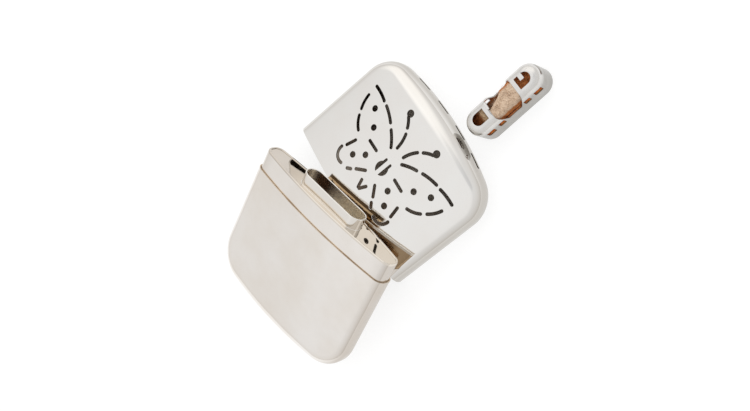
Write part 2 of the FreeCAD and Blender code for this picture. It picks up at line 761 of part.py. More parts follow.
def make_gauze():
    """The fine gauze under the catalyst, as a thin plate lying in the tray."""
    body = new_body("catalyst_gauze")
    outline = sketch_on(body, "outline", "XY_Plane", SOCKET_DEPTH + " + wall + tray_gap")
    rim = "2 * ( wall + tray_gap )"
    stadium_outline(outline, inset(TRAY_LENGTH, rim), inset(TRAY_WIDTH, rim))
    pad(body, outline, "gauze_thickness")
    return body


def make_wool():
    """The catalyst wool that fills the cap above the gauze."""
    body = new_body("catalyst_wool")
    bottom = "( " + SOCKET_DEPTH + " + wall + tray_gap + gauze_thickness + wool_gap / 2 )"
    outline = sketch_on(body, "outline", "XY_Plane", bottom)
    slack = "2 * ( wall + tray_gap + wall + wool_gap )"
    stadium_outline(outline, inset(BURNER_LENGTH, slack), inset(BURNER_WIDTH, slack))
    pad(body, outline, inset("burner_height", "tab_drop - wool_gap - " + bottom))
    top = number(inset("burner_height", "tab_drop - wool_gap"))
    round_edges(body, "burner_edge_radius - wall - wool_gap", lambda middle, edge: on_level(edge, top))
    return body


# ---------------------------------------------------------------- on the table

def turned(axis, degrees):
    return FreeCAD.Rotation(FreeCAD.Vector(*axis), degrees)


def height_over_table(shape):
    """How far a shape's lowest point stands over the plane z = 0."""
    under = 500.0
    span = 1000.0
    table = Part.makePlane(span, span, FreeCAD.Vector(-span / 2, -span / 2, -under))
    return shape.distToShape(table)[0] - under


def tank_lying(tilt, shape):
    """Where the tank lies, on the table, when its mouth end is tipped up by an angle."""
    rotation = turned((0, 1, 0), size("tank_roll_angle"))
    rotation = rotation.multiply(turned((1, 0, 0), tilt))
    rotation = rotation.multiply(turned((0, 0, 1), size("tank_yaw_angle")))
    rotation = rotation.multiply(turned((1, 0, 0), -90))
    spot = FreeCAD.Vector(size("tank_offset_x"), size("tank_offset_y"), 0)
    lying = shape.copy()
    lying.Placement = FreeCAD.Placement(spot, rotation)
    spot.z = -height_over_table(lying)
    return FreeCAD.Placement(spot, rotation)


def leaning_tank(tank_shape, lid_shape):
    """Tips the tank down until it all but touches the lid's mouth."""
    low, high = 4.0, 40.0
    for _ in range(14):
        tilt = (low + high) / 2
        lying = tank_shape.copy()
        lying.Placement = tank_lying(tilt, tank_shape)
        if lying.distToShape(lid_shape)[0] > size("lean_gap"):
            high = tilt
        else:
            low = tilt
    return tank_lying(high, tank_shape)


tank = [make_tank_shell(), make_collar(), make_top_plate(), make_neck(), make_felt(),
        make_packing_pad("packing_left", -1), make_packing_pad("packing_centre", 0),
        make_packing_pad("packing_right", 1)]
lid = [make_lid()]
burner = [make_burner_cap(), make_burner_tray(), make_gauze(), make_wool()]

face_up = FreeCAD.Rotation(FreeCAD.Vector(-1, 0, 0), FreeCAD.Vector(0, 0, -1), FreeCAD.Vector(0, -1, 0))
lid_place = FreeCAD.Placement(FreeCAD.Vector(0, 0, number(LID_THICKNESS) / 2), face_up)
burner_spot = FreeCAD.Vector(size("burner_offset_x"), number("lid_depth + burner_distance"), 0)
burner_place = FreeCAD.Placement(burner_spot, turned((0, 0, 1), size("burner_yaw_angle")))

lid_outside = skin(lid[0])
lid_outside.Placement = lid_place
tank_outside = Part.makeCompound([skin(tank[0])] + [body.Shape.copy() for body in tank[1:4]])
tank_place = leaning_tank(tank_outside, lid_outside)

for group, place in ((tank, tank_place), (lid, lid_place), (burner, burner_place)):
    for body in group:
        body.Placement = place
doc.recompute()

outside = Part.makeCompound([body.Shape.copy() for body in tank[:4] + lid + burner[:1]])
box = outside.optimalBoundingBox(False, False)
home = FreeCAD.Vector(-(box.XMin + box.XMax) / 2, -(box.YMin + box.YMax) / 2, -box.ZMin)
for body in tank + lid + burner:
    body.Placement = FreeCAD.Placement(home, FreeCAD.Rotation()).multiply(body.Placement)
doc.recompute()

for item in doc.Objects:
    if "Invalid" in item.State or "Error" in item.State:
        raise RuntimeError(item.Label + " failed to build")

os.makedirs("parts", exist_ok=True)
for body in tank + lid + burner:
    if body.Shape.isNull() or not body.Shape.isValid() or len(body.Shape.Solids) != 1:
        raise RuntimeError(body.Label + " is not one sound solid")
    body.Shape.exportStep("parts/" + body.Label + ".step")
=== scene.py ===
import bpy
import math
import numpy as np
from mathutils import Matrix, Vector, noise
from mathutils.geometry import delaunay_2d_cdt


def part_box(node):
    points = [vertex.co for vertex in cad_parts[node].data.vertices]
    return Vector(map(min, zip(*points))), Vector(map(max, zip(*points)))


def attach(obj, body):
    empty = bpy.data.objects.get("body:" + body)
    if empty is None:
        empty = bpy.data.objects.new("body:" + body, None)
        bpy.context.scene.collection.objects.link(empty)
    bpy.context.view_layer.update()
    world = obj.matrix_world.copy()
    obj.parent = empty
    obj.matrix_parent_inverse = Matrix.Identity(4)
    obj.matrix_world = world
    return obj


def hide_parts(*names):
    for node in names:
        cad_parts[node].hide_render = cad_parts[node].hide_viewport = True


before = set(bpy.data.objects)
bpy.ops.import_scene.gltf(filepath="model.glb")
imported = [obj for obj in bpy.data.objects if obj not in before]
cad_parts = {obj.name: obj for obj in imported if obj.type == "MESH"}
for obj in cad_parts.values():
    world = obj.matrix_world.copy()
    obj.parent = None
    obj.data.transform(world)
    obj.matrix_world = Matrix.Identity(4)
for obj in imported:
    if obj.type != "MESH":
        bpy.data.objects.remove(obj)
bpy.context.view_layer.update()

# A catalytic pocket hand warmer, taken apart on a table: the fuel tank leans on the mouth of the
# pierced lid, and the burner stands on its skirt beyond the lid's closed end. Sizes are in
# millimetres; each piece is made in its own frame, mouth up and front towards -Y, and then placed.
MM = 0.001

WALL = 0.5
TANK = dict(width=68.0, thickness=13.4, depth=46.6, crown_rise=2.97, bow_rise=3.0, corner=13.0, edge=3.7)
LID = dict(width=68.4, thickness=13.8, depth=48.4, crown_rise=2.97, bow_rise=4.81, corner=12.2, edge=4.0)
COLLAR_INSET, COLLAR_HEIGHT = 0.6, 7.9
NECK_LENGTH, NECK_WIDTH, NECK_HEIGHT = 29.6, 7.6, 4.2
BURNER_LENGTH, BURNER_WIDTH, BURNER_HEIGHT, BURNER_EDGE = 31.6, 9.9, 12.0, 3.1

SLOT_WIDTH, END_VENT_WIDTH, DOT_DIAMETER, ANTENNA_DOT, VENT_ROLL = 1.18, 1.3, 2.3, 2.75, 0.15
BUTTERFLY_MIDDLE, BUTTERFLY_HALF_SPAN = 20.2, 26.0
BUTTERFLY_STROKES = [
    (0.319, 0.681, 0.208, 0.588, -0.006),
    (0.154, 0.523, 0.081, 0.319, -0.012),
    (0.144, 0.246, 0.340, 0.377, 0.008),
    (0.427, 0.423, 0.660, 0.496, 0.008),
    (0.742, 0.504, 0.992, 0.515, 0.010),
    (0.973, 0.354, 0.885, 0.162, 0.012),
    (0.829, 0.088, 0.662, -0.031, 0.013),
    (0.423, 0.038, 0.248, 0.044, 0.000),
    (0.571, -0.138, 0.606, -0.285, 0.000),
    (0.638, -0.360, 0.454, -0.492, 0.062),
    (0.331, -0.454, 0.285, -0.412, 0.000),
    (0.235, -0.346, 0.127, -0.238, 0.000),
    (0.058, -0.354, 0.013, -0.454, 0.000),
]
BUTTERFLY_DOTS = [(0.338, 0.731), (0.746, 0.335), (0.537, 0.181), (0.304, -0.123), (0.433, -0.281)]
# Slit each side of the butterfly's body, a half-moon that runs out into a thin neck: inner x, lower
# height, upper height, the half-moon's bulge, the neck's width, and the height where the neck starts.
BUTTERFLY_BODY = (0.0327, -0.119, 0.119, 0.0673, 0.0365, 0.050)


# ---------------- where the pieces lie

def spin(axis, degrees):
    return Matrix.Rotation(math.radians(degrees), 4, axis)


def placed(x, y, z, turn):
    """A piece's own frame in millimetres, set down on the table in metres."""
    return Matrix.Translation(Vector((x, y, z)) * MM) @ turn @ Matrix.Scale(MM, 4)


lid_low, lid_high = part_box("lid_shell")
LID_X = (lid_low[0] + lid_high[0]) / 2 / MM
LID_Y = lid_low[1] / MM
LID_PLACE = placed(LID_X, LID_Y, LID["thickness"] / 2, spin("Z", 180) @ spin("X", -90))
TANK_ROLL, TANK_LEAN, TANK_YAW = 2.5, 15.593, 16.8
TANK_BESIDE, TANK_BEFORE, TANK_MOUTH_HEIGHT = 3.0, 7.8, 18.2566
TANK_TURN = spin("Y", TANK_ROLL) @ spin("X", TANK_LEAN) @ spin("Z", TANK_YAW) @ spin("X", -90)
TANK_PLACE = placed(LID_X + TANK_BESIDE, LID_Y - TANK_BEFORE, TANK_MOUTH_HEIGHT, TANK_TURN)
BURNER_BESIDE, BURNER_BEYOND, BURNER_YAW = 7.43, 67.8, 92.9
BURNER_PLACE = placed(LID_X + BURNER_BESIDE, LID_Y + BURNER_BEYOND, 0.0, spin("Z", BURNER_YAW))


# ---------------- mesh building

class Skin:
    """A mesh made of shared points whose face corners carry exact normals."""

    def __init__(self):
        self.points, self.faces, self.normals, self.slots = [], [], [], []

    def add(self, points):
        """Adds points and gives their numbers."""
        start = len(self.points)
        self.points.extend(tuple(map(float, p)) for p in points)
        return list(range(start, len(self.points)))

    def face(self, corners, normals, slot=0):
        """Adds a face, turned to agree with its normals; a corner that repeats counts once."""
        ring, kept = [], []
        for corner, normal in zip(corners, normals):
            if corner not in ring:
                ring.append(corner)
                kept.append(normal)
        if len(ring) < 3:
            return
        a, b, c = (np.array(self.points[i]) for i in (ring[0], ring[1], ring[-1]))
        if np.dot(np.cross(b - a, c - a), np.sum(kept, axis=0)) < 0:
            ring.reverse()
            kept.reverse()
        self.faces.append(ring)
        self.normals.append([tuple(map(float, n)) for n in kept])
        self.slots.append(slot)

    def strip(self, first, second, normals_1, normals_2, slot=0, closed=False):
        """Quads between two rows of points."""
        count = len(first)
        for i in range(count if closed else count - 1):
            j = (i + 1) % count
            self.face((first[i], first[j], second[j], second[i]),
                      (normals_1[i], normals_1[j], normals_2[j], normals_2[i]), slot)

    def build(self, name, place, materials, exact=True):
        """The mesh as an object; points that coincide are shared, and exact normals are kept."""
        keys, faces, normals, slots = {}, [], [], []
        for ring, kept, slot in zip(self.faces, self.normals, self.slots):
            corners, shades = [], []
            for index, normal in zip(ring, kept):
                corner = tuple(round(c, 3) for c in self.points[index])
                if corner not in corners:
                    corners.append(corner)
                    shades.append(normal)
            if len(corners) > 2:
                faces.append([keys.setdefault(corner, len(keys)) for corner in corners])
                normals.extend(shades)
                slots.append(slot)
        mesh = bpy.data.meshes.new(name)
        mesh.from_pydata([Vector(key) for key in keys], [], faces)
        mesh.transform(place)
        for material in materials:
            mesh.materials.append(material)
        mesh.polygons.foreach_set("material_index", slots)
        mesh.polygons.foreach_set("use_smooth", [True] * len(faces))
        mesh.update()
        if exact:
            turn = place.to_3x3().normalized()
            mesh.normals_split_custom_set([(turn @ Vector(n)).normalized() for n in normals])
        obj = bpy.data.objects.new(name, mesh)
        bpy.context.scene.collection.objects.link(obj)
        return obj


def unit(rows):
    """Vectors brought to length 1."""
    rows = np.asarray(rows, dtype=float)
    return rows / np.maximum(np.linalg.norm(rows, axis=-1, keepdims=True), 1e-12)


def inside(polygon, points):
    """Which points lie inside a closed polygon, by counting crossings."""
    points = np.asarray(points)
    x, y = points[:, 0], points[:, 1]
    result = np.zeros(len(points), bool)
    a = np.asarray(polygon)
    b = np.roll(a, -1, axis=0)
    for (x1, y1), (x2, y2) in zip(a, b):
        if y1 == y2:
            continue
        crosses = (y1 > y) != (y2 > y)
        result ^= crosses & (x < (x2 - x1) * (y - y1) / (y2 - y1) + x1)
    return result


GRID_SHIFT, CLEAR_OF_RIM, CLEAR_OF_HOLE = 0.37, 0.45, 0.25    # shares of the spacing between spare points


def triangulated(boundary, pattern, spacing):
    """Triangles over a flat region: its boundary and rolled rims are kept, and spare points fill it."""
    points = [tuple(p) for p in boundary]
    edges = [(i, (i + 1) % len(points)) for i in range(len(points))]
    for ring in pattern.rings() if pattern else []:
        start = len(points)
        points.extend(tuple(p) for p in ring)
        edges.extend((start + i, start + (i + 1) % len(ring)) for i in range(len(ring)))
    low, high = np.min(boundary, axis=0), np.max(boundary, axis=0)
    row_step = spacing * math.sqrt(0.75)
    grid = np.array([(low[0] + (column + 0.5 * (row % 2)) * spacing, low[1] + (row + GRID_SHIFT) * row_step)
                     for row in range(int((high[1] - low[1]) / row_step) + 2)
                     for column in range(int((high[0] - low[0]) / spacing) + 2)])
    grid = grid[inside(boundary, grid)]
    rim = np.array(boundary)
    grid = grid[[np.min(np.hypot(*(rim - spare).T)) > spacing * CLEAR_OF_RIM for spare in grid]]
    if pattern:
        grid = grid[pattern.distance(grid) > pattern.roll + spacing * CLEAR_OF_HOLE]
    points.extend(map(tuple, grid))
    flat, _, faces, _, _, _ = delaunay_2d_cdt([Vector(p) for p in points], edges, [], 0, 1e-5)
    flat = np.array([tuple(p) for p in flat])
    faces = np.array([f for f in faces if len(f) == 3])
    centres = flat[faces].mean(axis=1)
    keep = inside(boundary, centres)
    if pattern:
        keep &= pattern.distance(centres) > 0
    return flat, faces[keep]


def loose_edges(faces):
    """Edges that only one triangle uses, in that triangle's own direction."""
    seen = {}
    for face in faces:
        for i in range(3):
            a, b = int(face[i]), int(face[(i + 1) % 3])
            if (b, a) in seen:
                del seen[(b, a)]
            else:
                seen[(a, b)] = True
    return list(seen)


# ---------------- pierced shapes in a flat pattern

LINE_STEP, ARC_STEP, CAP_POINTS, DOT_POINTS, FLATTEST_BULGE = 0.9, 0.6, 9, 28, 0.01
ROLL_SHARES = (0.0, 0.12, 0.37, 0.66, 1.0)    # how far out the rings of points round a rolled hole lie
CORNER_SHARES, SHARP_TURN = (0, 0.3, 0.7, 1), 0.3


def spoke(angle):
    """The direction at an angle in a flat chart."""
    return np.array((math.cos(angle), math.sin(angle)))


def arc(x, y, radius, turns):
    """Points on a circle, each with its direction from the circle's middle."""
    return [(x + radius * math.cos(t), y + radius * math.sin(t), math.cos(t), math.sin(t)) for t in turns]


def arc_points(x, y, radius, turns):
    """Points on a circle in a flat chart."""
    return [row[:2] for row in arc(x, y, radius, turns)]


def arc_radius(half_span, rise):
    """The radius of an arc that rises by so much over a span."""
    return (half_span * half_span + rise * rise) / (2 * rise)


def mirrored(ring, side):
    """A ring of corners, turned over to the other side where side is -1."""
    return ring if side > 0 else [(-x, y) for x, y in reversed(ring)]


class Slot:
    """A round-ended slot along a line, or along an arc where it bulges to the left of its run."""

    def __init__(self, start, end, width, bulge=0.0):
        self.start, self.end = np.array(start, float), np.array(end, float)
        self.half = width / 2
        run = self.end - self.start
        length = np.hypot(*run)
        left = np.array((-run[1], run[0])) / length
        self.curved = abs(bulge) > FLATTEST_BULGE
        if self.curved:
            radius = arc_radius(length / 2, abs(bulge))
            sign = 1 if bulge > 0 else -1
            self.radius = radius
            self.centre = (self.start + self.end) / 2 - left * sign * (radius - abs(bulge))
            first, last = (self.end, self.start) if sign > 0 else (self.start, self.end)
            self.low = math.atan2(*(first - self.centre)[::-1])
            self.high = math.atan2(*(last - self.centre)[::-1])
            if self.high < self.low:
                self.high += 2 * math.pi

    def distance(self, points):
        points = np.asarray(points)
        ends = np.minimum(np.hypot(*(points - self.start).T), np.hypot(*(points - self.end).T))
        if not self.curved:
            run = self.end - self.start
            share = np.clip((points - self.start) @ run / (run @ run), 0, 1)
            return np.hypot(*(points - self.start - share[:, None] * run).T) - self.half
        off = points - self.centre
        middle = (self.low + self.high) / 2
        turn = (np.arctan2(off[:, 1], off[:, 0]) - middle + math.pi) % (2 * math.pi) - math.pi
        along = np.abs(turn) <= (self.high - self.low) / 2
        return np.where(along, np.abs(np.hypot(*off.T) - self.radius), ends) - self.half

    def outline(self, grow):
        half = self.half + grow
        cap = np.linspace(0, math.pi, CAP_POINTS)
        if not self.curved:
            run = self.end - self.start
            turn = math.atan2(run[1], run[0])
            steps = max(2, int(np.hypot(*run) / LINE_STEP))
            shares = np.linspace(0, 1, steps + 1)[1:-1]
            side = np.array((-math.sin(turn), math.cos(turn))) * half
            ring = [self.end + half * spoke(a) for a in turn - math.pi / 2 + cap]
            ring += [self.end - run * s + side for s in shares]
            ring += [self.start + half * spoke(a) for a in turn + math.pi / 2 + cap]
            ring += [self.start + run * s - side for s in shares]
            return ring
        steps = max(4, int((self.high - self.low) * self.radius / ARC_STEP))
        sweep = np.linspace(self.low, self.high, steps + 1)
        first = self.centre + self.radius * spoke(self.low)
        last = self.centre + self.radius * spoke(self.high)
        ring = [self.centre + (self.radius + half) * spoke(a) for a in sweep[:-1]]
        ring += [last + half * spoke(a) for a in self.high + cap]
        ring += [self.centre + (self.radius - half) * spoke(a) for a in sweep[::-1][1:-1]]
        ring += [first + half * spoke(a) for a in self.low + math.pi + cap[:-1]]
        return ring


class Dot:
    """A round hole."""

    def __init__(self, centre, diameter):
        self.centre, self.radius = np.array(centre, float), diameter / 2

    def distance(self, points):
        return np.hypot(*(np.asarray(points) - self.centre).T) - self.radius

    def outline(self, grow):
        turns = np.linspace(0, 2 * math.pi, DOT_POINTS + 1)[:-1]
        return [self.centre + (self.radius + grow) * spoke(a) for a in turns]


def body_slit(side, inner, low, high, bulge, neck, start):
    """A half-moon, straight towards the middle, that runs out into a thin round-ended neck."""
    # The bow is part of a circle through (0, low) and (neck, start) that reaches out to the bulge.
    rest_of_bulge = bulge - neck
    square, linear = rest_of_bulge - bulge, 2 * (bulge * start - rest_of_bulge * low)
    constant = (rest_of_bulge * low ** 2 - bulge * start ** 2
                + rest_of_bulge * bulge ** 2 - bulge * rest_of_bulge ** 2)
    height = (-linear + math.sqrt(linear * linear - 4 * square * constant)) / (2 * square)
    radius = arc_radius(low - height, bulge)
    middle = bulge - radius
    first, last = math.atan2(low - height, -middle), math.atan2(start - height, neck - middle)
    ring = arc_points(middle, height, radius, np.linspace(first, last, 19))
    ring += [(neck, h) for h in np.linspace(start, high - neck / 2, 5)[1:-1]]
    ring += arc_points(neck / 2, high - neck / 2, neck / 2, np.linspace(0, math.pi, 10))
    ring += [(0.0, h) for h in np.linspace(high - neck / 2, low, 14)[1:-1]]
    return mirrored([(inner + x, h) for x, h in ring], side)


class Pattern:
    """Everything pierced through one flat region, with the rolled rim round each hole."""

    def __init__(self, shapes, roll):
        self.shapes, self.roll = shapes, roll

    def distance(self, points):
        return np.min([shape.distance(points) for shape in self.shapes], axis=0)

    def slope(self, points):
        """The way out of the nearest hole."""
        step = 1e-4
        across = self.distance(points + (step, 0)) - self.distance(points - (step, 0))
        along = self.distance(points + (0, step)) - self.distance(points - (0, step))
        return unit(np.stack([across, along], axis=1))

    def rings(self):
        """The rings of points that the chart has round each hole."""
        shares = ROLL_SHARES if self.roll else (0.0,)
        return [shape.outline(self.roll * share) for shape in self.shapes for share in shares]

    def tilt(self, distances):
        """The angle by which the rim leans into a hole, from 0 on the plain face."""
        return np.arcsin(np.clip((self.roll - distances) / self.roll, 0, 1))


class Cutout:
    """A hole with straight or finely divided sides; its corners run counter-clockwise."""

    def __init__(self, corners, step=0.5):
        chain = []
        for start, end in zip(corners, corners[1:] + corners[:1]):
            start, end = np.array(start, float), np.array(end, float)
            count = max(1, int(np.hypot(*(end - start)) / step))
            chain += [start + (end - start) * i / count for i in range(count)]
        self.corners = np.array(chain)

    def distance(self, points):
        points = np.asarray(points)
        nearest = np.full(len(points), np.inf)
        for start, end in zip(self.corners, np.roll(self.corners, -1, axis=0)):
            run = end - start
            share = np.clip((points - start) @ run / (run @ run), 0, 1)
            nearest = np.minimum(nearest, np.hypot(*(points - start - share[:, None] * run).T))
        return np.where(inside(self.corners, points), -nearest, nearest)

    def outline(self, grow):
        if grow == 0:
            return list(self.corners)
        before = unit(self.corners - np.roll(self.corners, 1, axis=0))
        after = np.roll(before, -1, axis=0)
        ring = []
        for corner, first, second in zip(self.corners, before, after):
            out_1, out_2 = np.array((first[1], -first[0])), np.array((second[1], -second[0]))
            turn = first[0] * second[1] - first[1] * second[0]
            if turn > SHARP_TURN:
                ring += [corner + grow * unit(out_1 * (1 - s) + out_2 * s) for s in CORNER_SHARES]
            else:
                middle = out_1 + out_2
                ring.append(corner + grow * middle * 2 / (middle @ middle))
        return ring


ON_HOLE, ON_MOUTH = 0.01, 1e-4    # how near a point of a chart lies to a hole's or the mouth's edge


def lay(skin, flat, faces, surface, pattern=None, mouth=None, edge_shade=0):
    """Lays a flat chart on a surface as sheet metal: outside, inside, rolled holes and open rims."""
    base, plain, across, along = surface(flat)
    outer, normal = base, plain
    reach = np.full(len(flat), np.inf)
    if pattern:
        reach = pattern.distance(flat)
        slope = pattern.slope(flat)
        slope = unit(slope[:, :1] * across + slope[:, 1:] * along)
        tilt = pattern.tilt(reach)[:, None]
        outer = base - plain * pattern.roll * (1 - np.cos(tilt))
        normal = unit(plain * np.cos(tilt) - slope * np.sin(tilt))
    outer_ids, inner_ids = skin.add(outer), skin.add(base - WALL * plain)
    for face in faces:
        skin.face([outer_ids[i] for i in face], [normal[i] for i in face], 0)
        skin.face([inner_ids[i] for i in face], [-plain[i] for i in face], 1)
    for i, j in loose_edges(faces):
        corners = (outer_ids[i], outer_ids[j], inner_ids[j], inner_ids[i])
        if reach[i] < ON_HOLE and reach[j] < ON_HOLE:
            skin.face(corners, (-slope[i], -slope[j], -slope[j], -slope[i]), 0)
        elif mouth and mouth(flat[i]) and mouth(flat[j]):
            skin.face(corners, [(0, 0, 1)] * 4, edge_shade)


# ---------------- drawn shells

LIFT = 0.2    # radians up the rounded edge, where the side's flat chart ends
FACE_SPACING, SIDE_SPACING, STRAIGHT_STEP = 1.5, 0.9, 1.4
CORNER_STEPS, BOW_STEPS, EDGE_STEPS, MOUTH_STEPS, BALL_ROUNDS = 40, 30, 12, 45, 40


def shell_path(spec):
    """Round a shell's side wall from mouth to mouth: the ball that rounds the edge, at each place.

    The ball grows towards the closed end, where the shell is thicker, so that the plain side wall
    keeps one height all round and the end is drawn nearly full round."""
    side, half, depth = spec["width"] / 2, spec["thickness"] / 2, spec["depth"]
    corner, edge = spec["corner"], spec["edge"]
    bow, crown = arc_radius(side, spec["bow_rise"]), arc_radius(side, spec["crown_rise"])
    corner_z = (bow - depth) - math.sqrt((bow - corner) ** 2 - (side - corner) ** 2)
    lean = math.atan2(corner_z - (bow - depth), side - corner)
    rows = [(side, z, 1.0, 0.0) for z in np.linspace(0, corner_z, int(-corner_z / STRAIGHT_STEP) + 1)[:-1]]
    rows += arc(side - corner, corner_z, corner, np.linspace(0, lean, CORNER_STEPS + 1)[:-1])
    rows += arc(0.0, bow - depth, bow, np.linspace(lean, -math.pi / 2, BOW_STEPS + 1)[:-1])
    rows += [(0.0, -depth, 0.0, -1.0)] + [(-x, z, -nx, nz) for x, z, nx, nz in reversed(rows)]
    rows = np.array(rows)
    outer, normal, zero = rows[:, :2], rows[:, 2:], np.zeros(len(rows))
    level = half - crown + math.sqrt((crown - edge) ** 2 - (side - edge) ** 2)
    ball = np.full(len(rows), edge)
    for _ in range(BALL_ROUNDS):
        middle = outer[:, 0] - ball * normal[:, 0]
        ball = ball + (half - crown + np.sqrt((crown - ball) ** 2 - middle ** 2)) - level
    centre = outer - ball[:, None] * normal
    run = np.concatenate([[0], np.cumsum(np.hypot(*np.diff(outer, axis=0).T))])
    tilt = centre[:, 0] / (crown - ball)
    face = np.stack([tilt, np.sqrt(1 - tilt ** 2), zero], axis=1)
    wall = np.stack([normal[:, 0], zero, normal[:, 1]], axis=1)
    return dict(centre=np.stack([centre[:, 0], zero + level, centre[:, 1]], axis=1), ball=ball[:, None],
                face=face, wall=wall, whole=np.arccos(np.sum(face * wall, axis=1))[:, None],
                outer=outer, run=run, crown=crown, half=half, level=level)


def round_up(path, lift):
    """Over the rounded edge by an angle from the side wall: directions out of the ball, and along."""
    whole = path["whole"]
    out = (np.sin(whole - lift) * path["wall"] + np.sin(lift) * path["face"]) / np.sin(whole)
    over = (np.cos(lift) * path["face"] - np.cos(whole - lift) * path["wall"]) / np.sin(whole)
    return out, over


def edge_rows(path):
    """Rows of points and true normals over the rounded edge, from the face down to the side's chart."""
    rows = []
    for share in np.linspace(0, 1, EDGE_STEPS + 1):
        lift = path["whole"] + (LIFT - path["whole"]) * share
        out, over = round_up(path, lift)
        points = path["centre"] + path["ball"] * out
        normals = unit(np.cross(np.gradient(points, path["run"], axis=0), over))
        normals *= np.sign(np.sum(normals * out, axis=1))[:, None]
        rows.append((points, path["face"] if share == 0 else normals))
    return rows


def face_surface(path, side):
    """How the flat chart of a crowned face lies in space."""
    crown, half = path["crown"], path["half"]

    def crowned(flat):
        sine = flat[:, 0] / crown
        cosine, zero = np.sqrt(1 - sine ** 2), np.zeros(len(flat))
        base = np.stack([flat[:, 0], -side * (half - crown + crown * cosine), flat[:, 1]], axis=1)
        along = np.tile((0.0, 0.0, 1.0), (len(flat), 1))
        return (base, np.stack([sine, -side * cosine, zero], axis=1),
                np.stack([cosine, side * sine, zero], axis=1), along)

    return crowned


def side_surface(path, last_normals):
    """How the flat chart of the side wall lies in space: distance round it, and height over its middle."""
    run, level = path["run"], path["level"]
    heading = unit(np.gradient(path["outer"], run, axis=0))
    bent = last_normals - round_up(path, LIFT)[0]

    def side_wall(flat):
        def at(rows):
            return np.stack([np.interp(flat[:, 0], run, column) for column in rows.T], axis=1)

        local = {key: at(path[key]) for key in ("centre", "ball", "face", "wall", "whole")}
        front = np.where(flat[:, 1] > 0, -1.0, 1.0)[:, None]
        climb = np.maximum(np.abs(flat[:, 1:]) - level, 0.0) / local["ball"]
        out, over = round_up(local, climb)
        local["centre"][:, 1] = np.minimum(np.abs(flat[:, 1]), level)
        turned = np.hstack([np.ones_like(front), front, np.ones_like(front)])
        base = (local["centre"] + local["ball"] * out) * turned
        normal = unit((out + climb / LIFT * at(bent)) * turned)
        run_way = at(heading)
        across = unit(np.stack([run_way[:, 0], np.zeros(len(flat)), run_way[:, 1]], axis=1))
        return base, normal, across, -front * over * turned

    return side_wall


def add_edge(skin, edge, side, edge_shade):
    """The rounded edge between a face and the side wall, outside and inside."""
    turned = np.array((1, -side, 1))
    rows = [(skin.add(points * turned), skin.add((points - WALL * normals) * turned), normals * turned)
            for points, normals in edge]
    for (outer_1, inner_1, normal_1), (outer_2, inner_2, normal_2) in zip(rows, rows[1:]):
        skin.strip(outer_1, outer_2, normal_1, normal_2, 0)
        skin.strip(inner_1, inner_2, -normal_1, -normal_2, 1)
        for end in (0, -1):
            corners = (outer_1[end], outer_2[end], inner_2[end], inner_1[end])
            skin.face(corners, [(0, 0, 1)] * 4, edge_shade)


def add_face(skin, path, side, pattern, edge_shade):
    """A crowned face with its mouth edge, and with the vents of its pattern."""
    contact_x = path["centre"][:, 0] * path["crown"] / (path["crown"] - path["ball"][:, 0])
    mouth = [(x, 0.0) for x in np.linspace(-contact_x[0], contact_x[0], MOUTH_STEPS + 1)[1:-1]]
    outline = list(zip(contact_x, path["centre"][:, 2])) + mouth
    flat, faces = triangulated(outline, pattern, FACE_SPACING)
    lay(skin, flat, faces, face_surface(path, side), pattern, lambda spot: abs(spot[1]) < ON_MOUTH,
        edge_shade=edge_shade)


def add_side(skin, path, last_normals, end_slots, edge_shade):
    """The side wall from mouth to mouth, with the vents in its closed end."""
    run, level = path["run"], path["level"]
    order = np.argsort(path["outer"][:, 0])
    vents = [np.interp(ends, path["outer"][order, 0], run[order]) for ends in end_slots]
    slots = [Slot((min(ends), 0.0), (max(ends), 0.0), END_VENT_WIDTH) for ends in vents]
    pattern = Pattern(slots, VENT_ROLL) if slots else None
    top = level + LIFT * path["ball"][:, 0]
    outline = list(zip(run, top)) + [(run[-1], w) for w in (level, 0.0, -level)]
    outline += list(zip(run[::-1], -top[::-1])) + [(0.0, w) for w in (-level, 0.0, level)]
    flat, faces = triangulated(outline, pattern, SIDE_SPACING)
    lay(skin, flat, faces, side_surface(path, last_normals), pattern,
        lambda spot: not ON_MOUTH <= spot[0] <= run[-1] - ON_MOUTH, edge_shade=edge_shade)


def drawn_shell(name, spec, place, materials, face_pattern=None, end_slots=(), edge_shade=0):
    """A deep-drawn shell: crowned faces, rounded edges and corners, an open mouth and a real wall."""
    path = shell_path(spec)
    edge = edge_rows(path)
    skin = Skin()
    for side in (1, -1):
        add_edge(skin, edge, side, edge_shade)
        add_face(skin, path, side, face_pattern if side > 0 else None, edge_shade)
    add_side(skin, path, edge[-1][1], end_slots, edge_shade)
    return skin.build(name, place, materials)


# ---------------- swept outlines

def oval_path(width, thickness, crown, edge):
    """A closed outline with crowned long sides and rounded ends, with its normals."""
    side, top = width / 2, thickness / 2
    corner = math.sqrt((crown - edge) ** 2 - (side - edge) ** 2) - (crown - top)
    lean = math.atan2(corner + crown - top, side - edge)
    quarter = arc(side - edge, corner, edge, np.linspace(0, lean, 13))
    quarter += arc(0.0, top - crown, crown, np.linspace(lean, math.pi / 2, 25)[1:])
    half = quarter + [(-x, y, -nx, ny) for x, y, nx, ny in reversed(quarter[:-1])]
    rows = half + [(x, -y, nx, -ny) for x, y, nx, ny in reversed(half)]
    return np.array(rows)


def stadium_path(length, width, steps=20, along=1.2):
    """A closed outline with straight long sides and half-round ends, with its normals."""
    radius = width / 2
    reach = length / 2 - radius
    count = max(2, int(2 * reach / along))
    rows = arc(reach, 0.0, radius, np.linspace(-math.pi / 2, math.pi / 2, steps + 1))
    rows += [(x, radius, 0.0, 1.0) for x in np.linspace(reach, -reach, count + 1)[1:-1]]
    rows = np.array(rows)
    return np.vstack([rows, -rows])


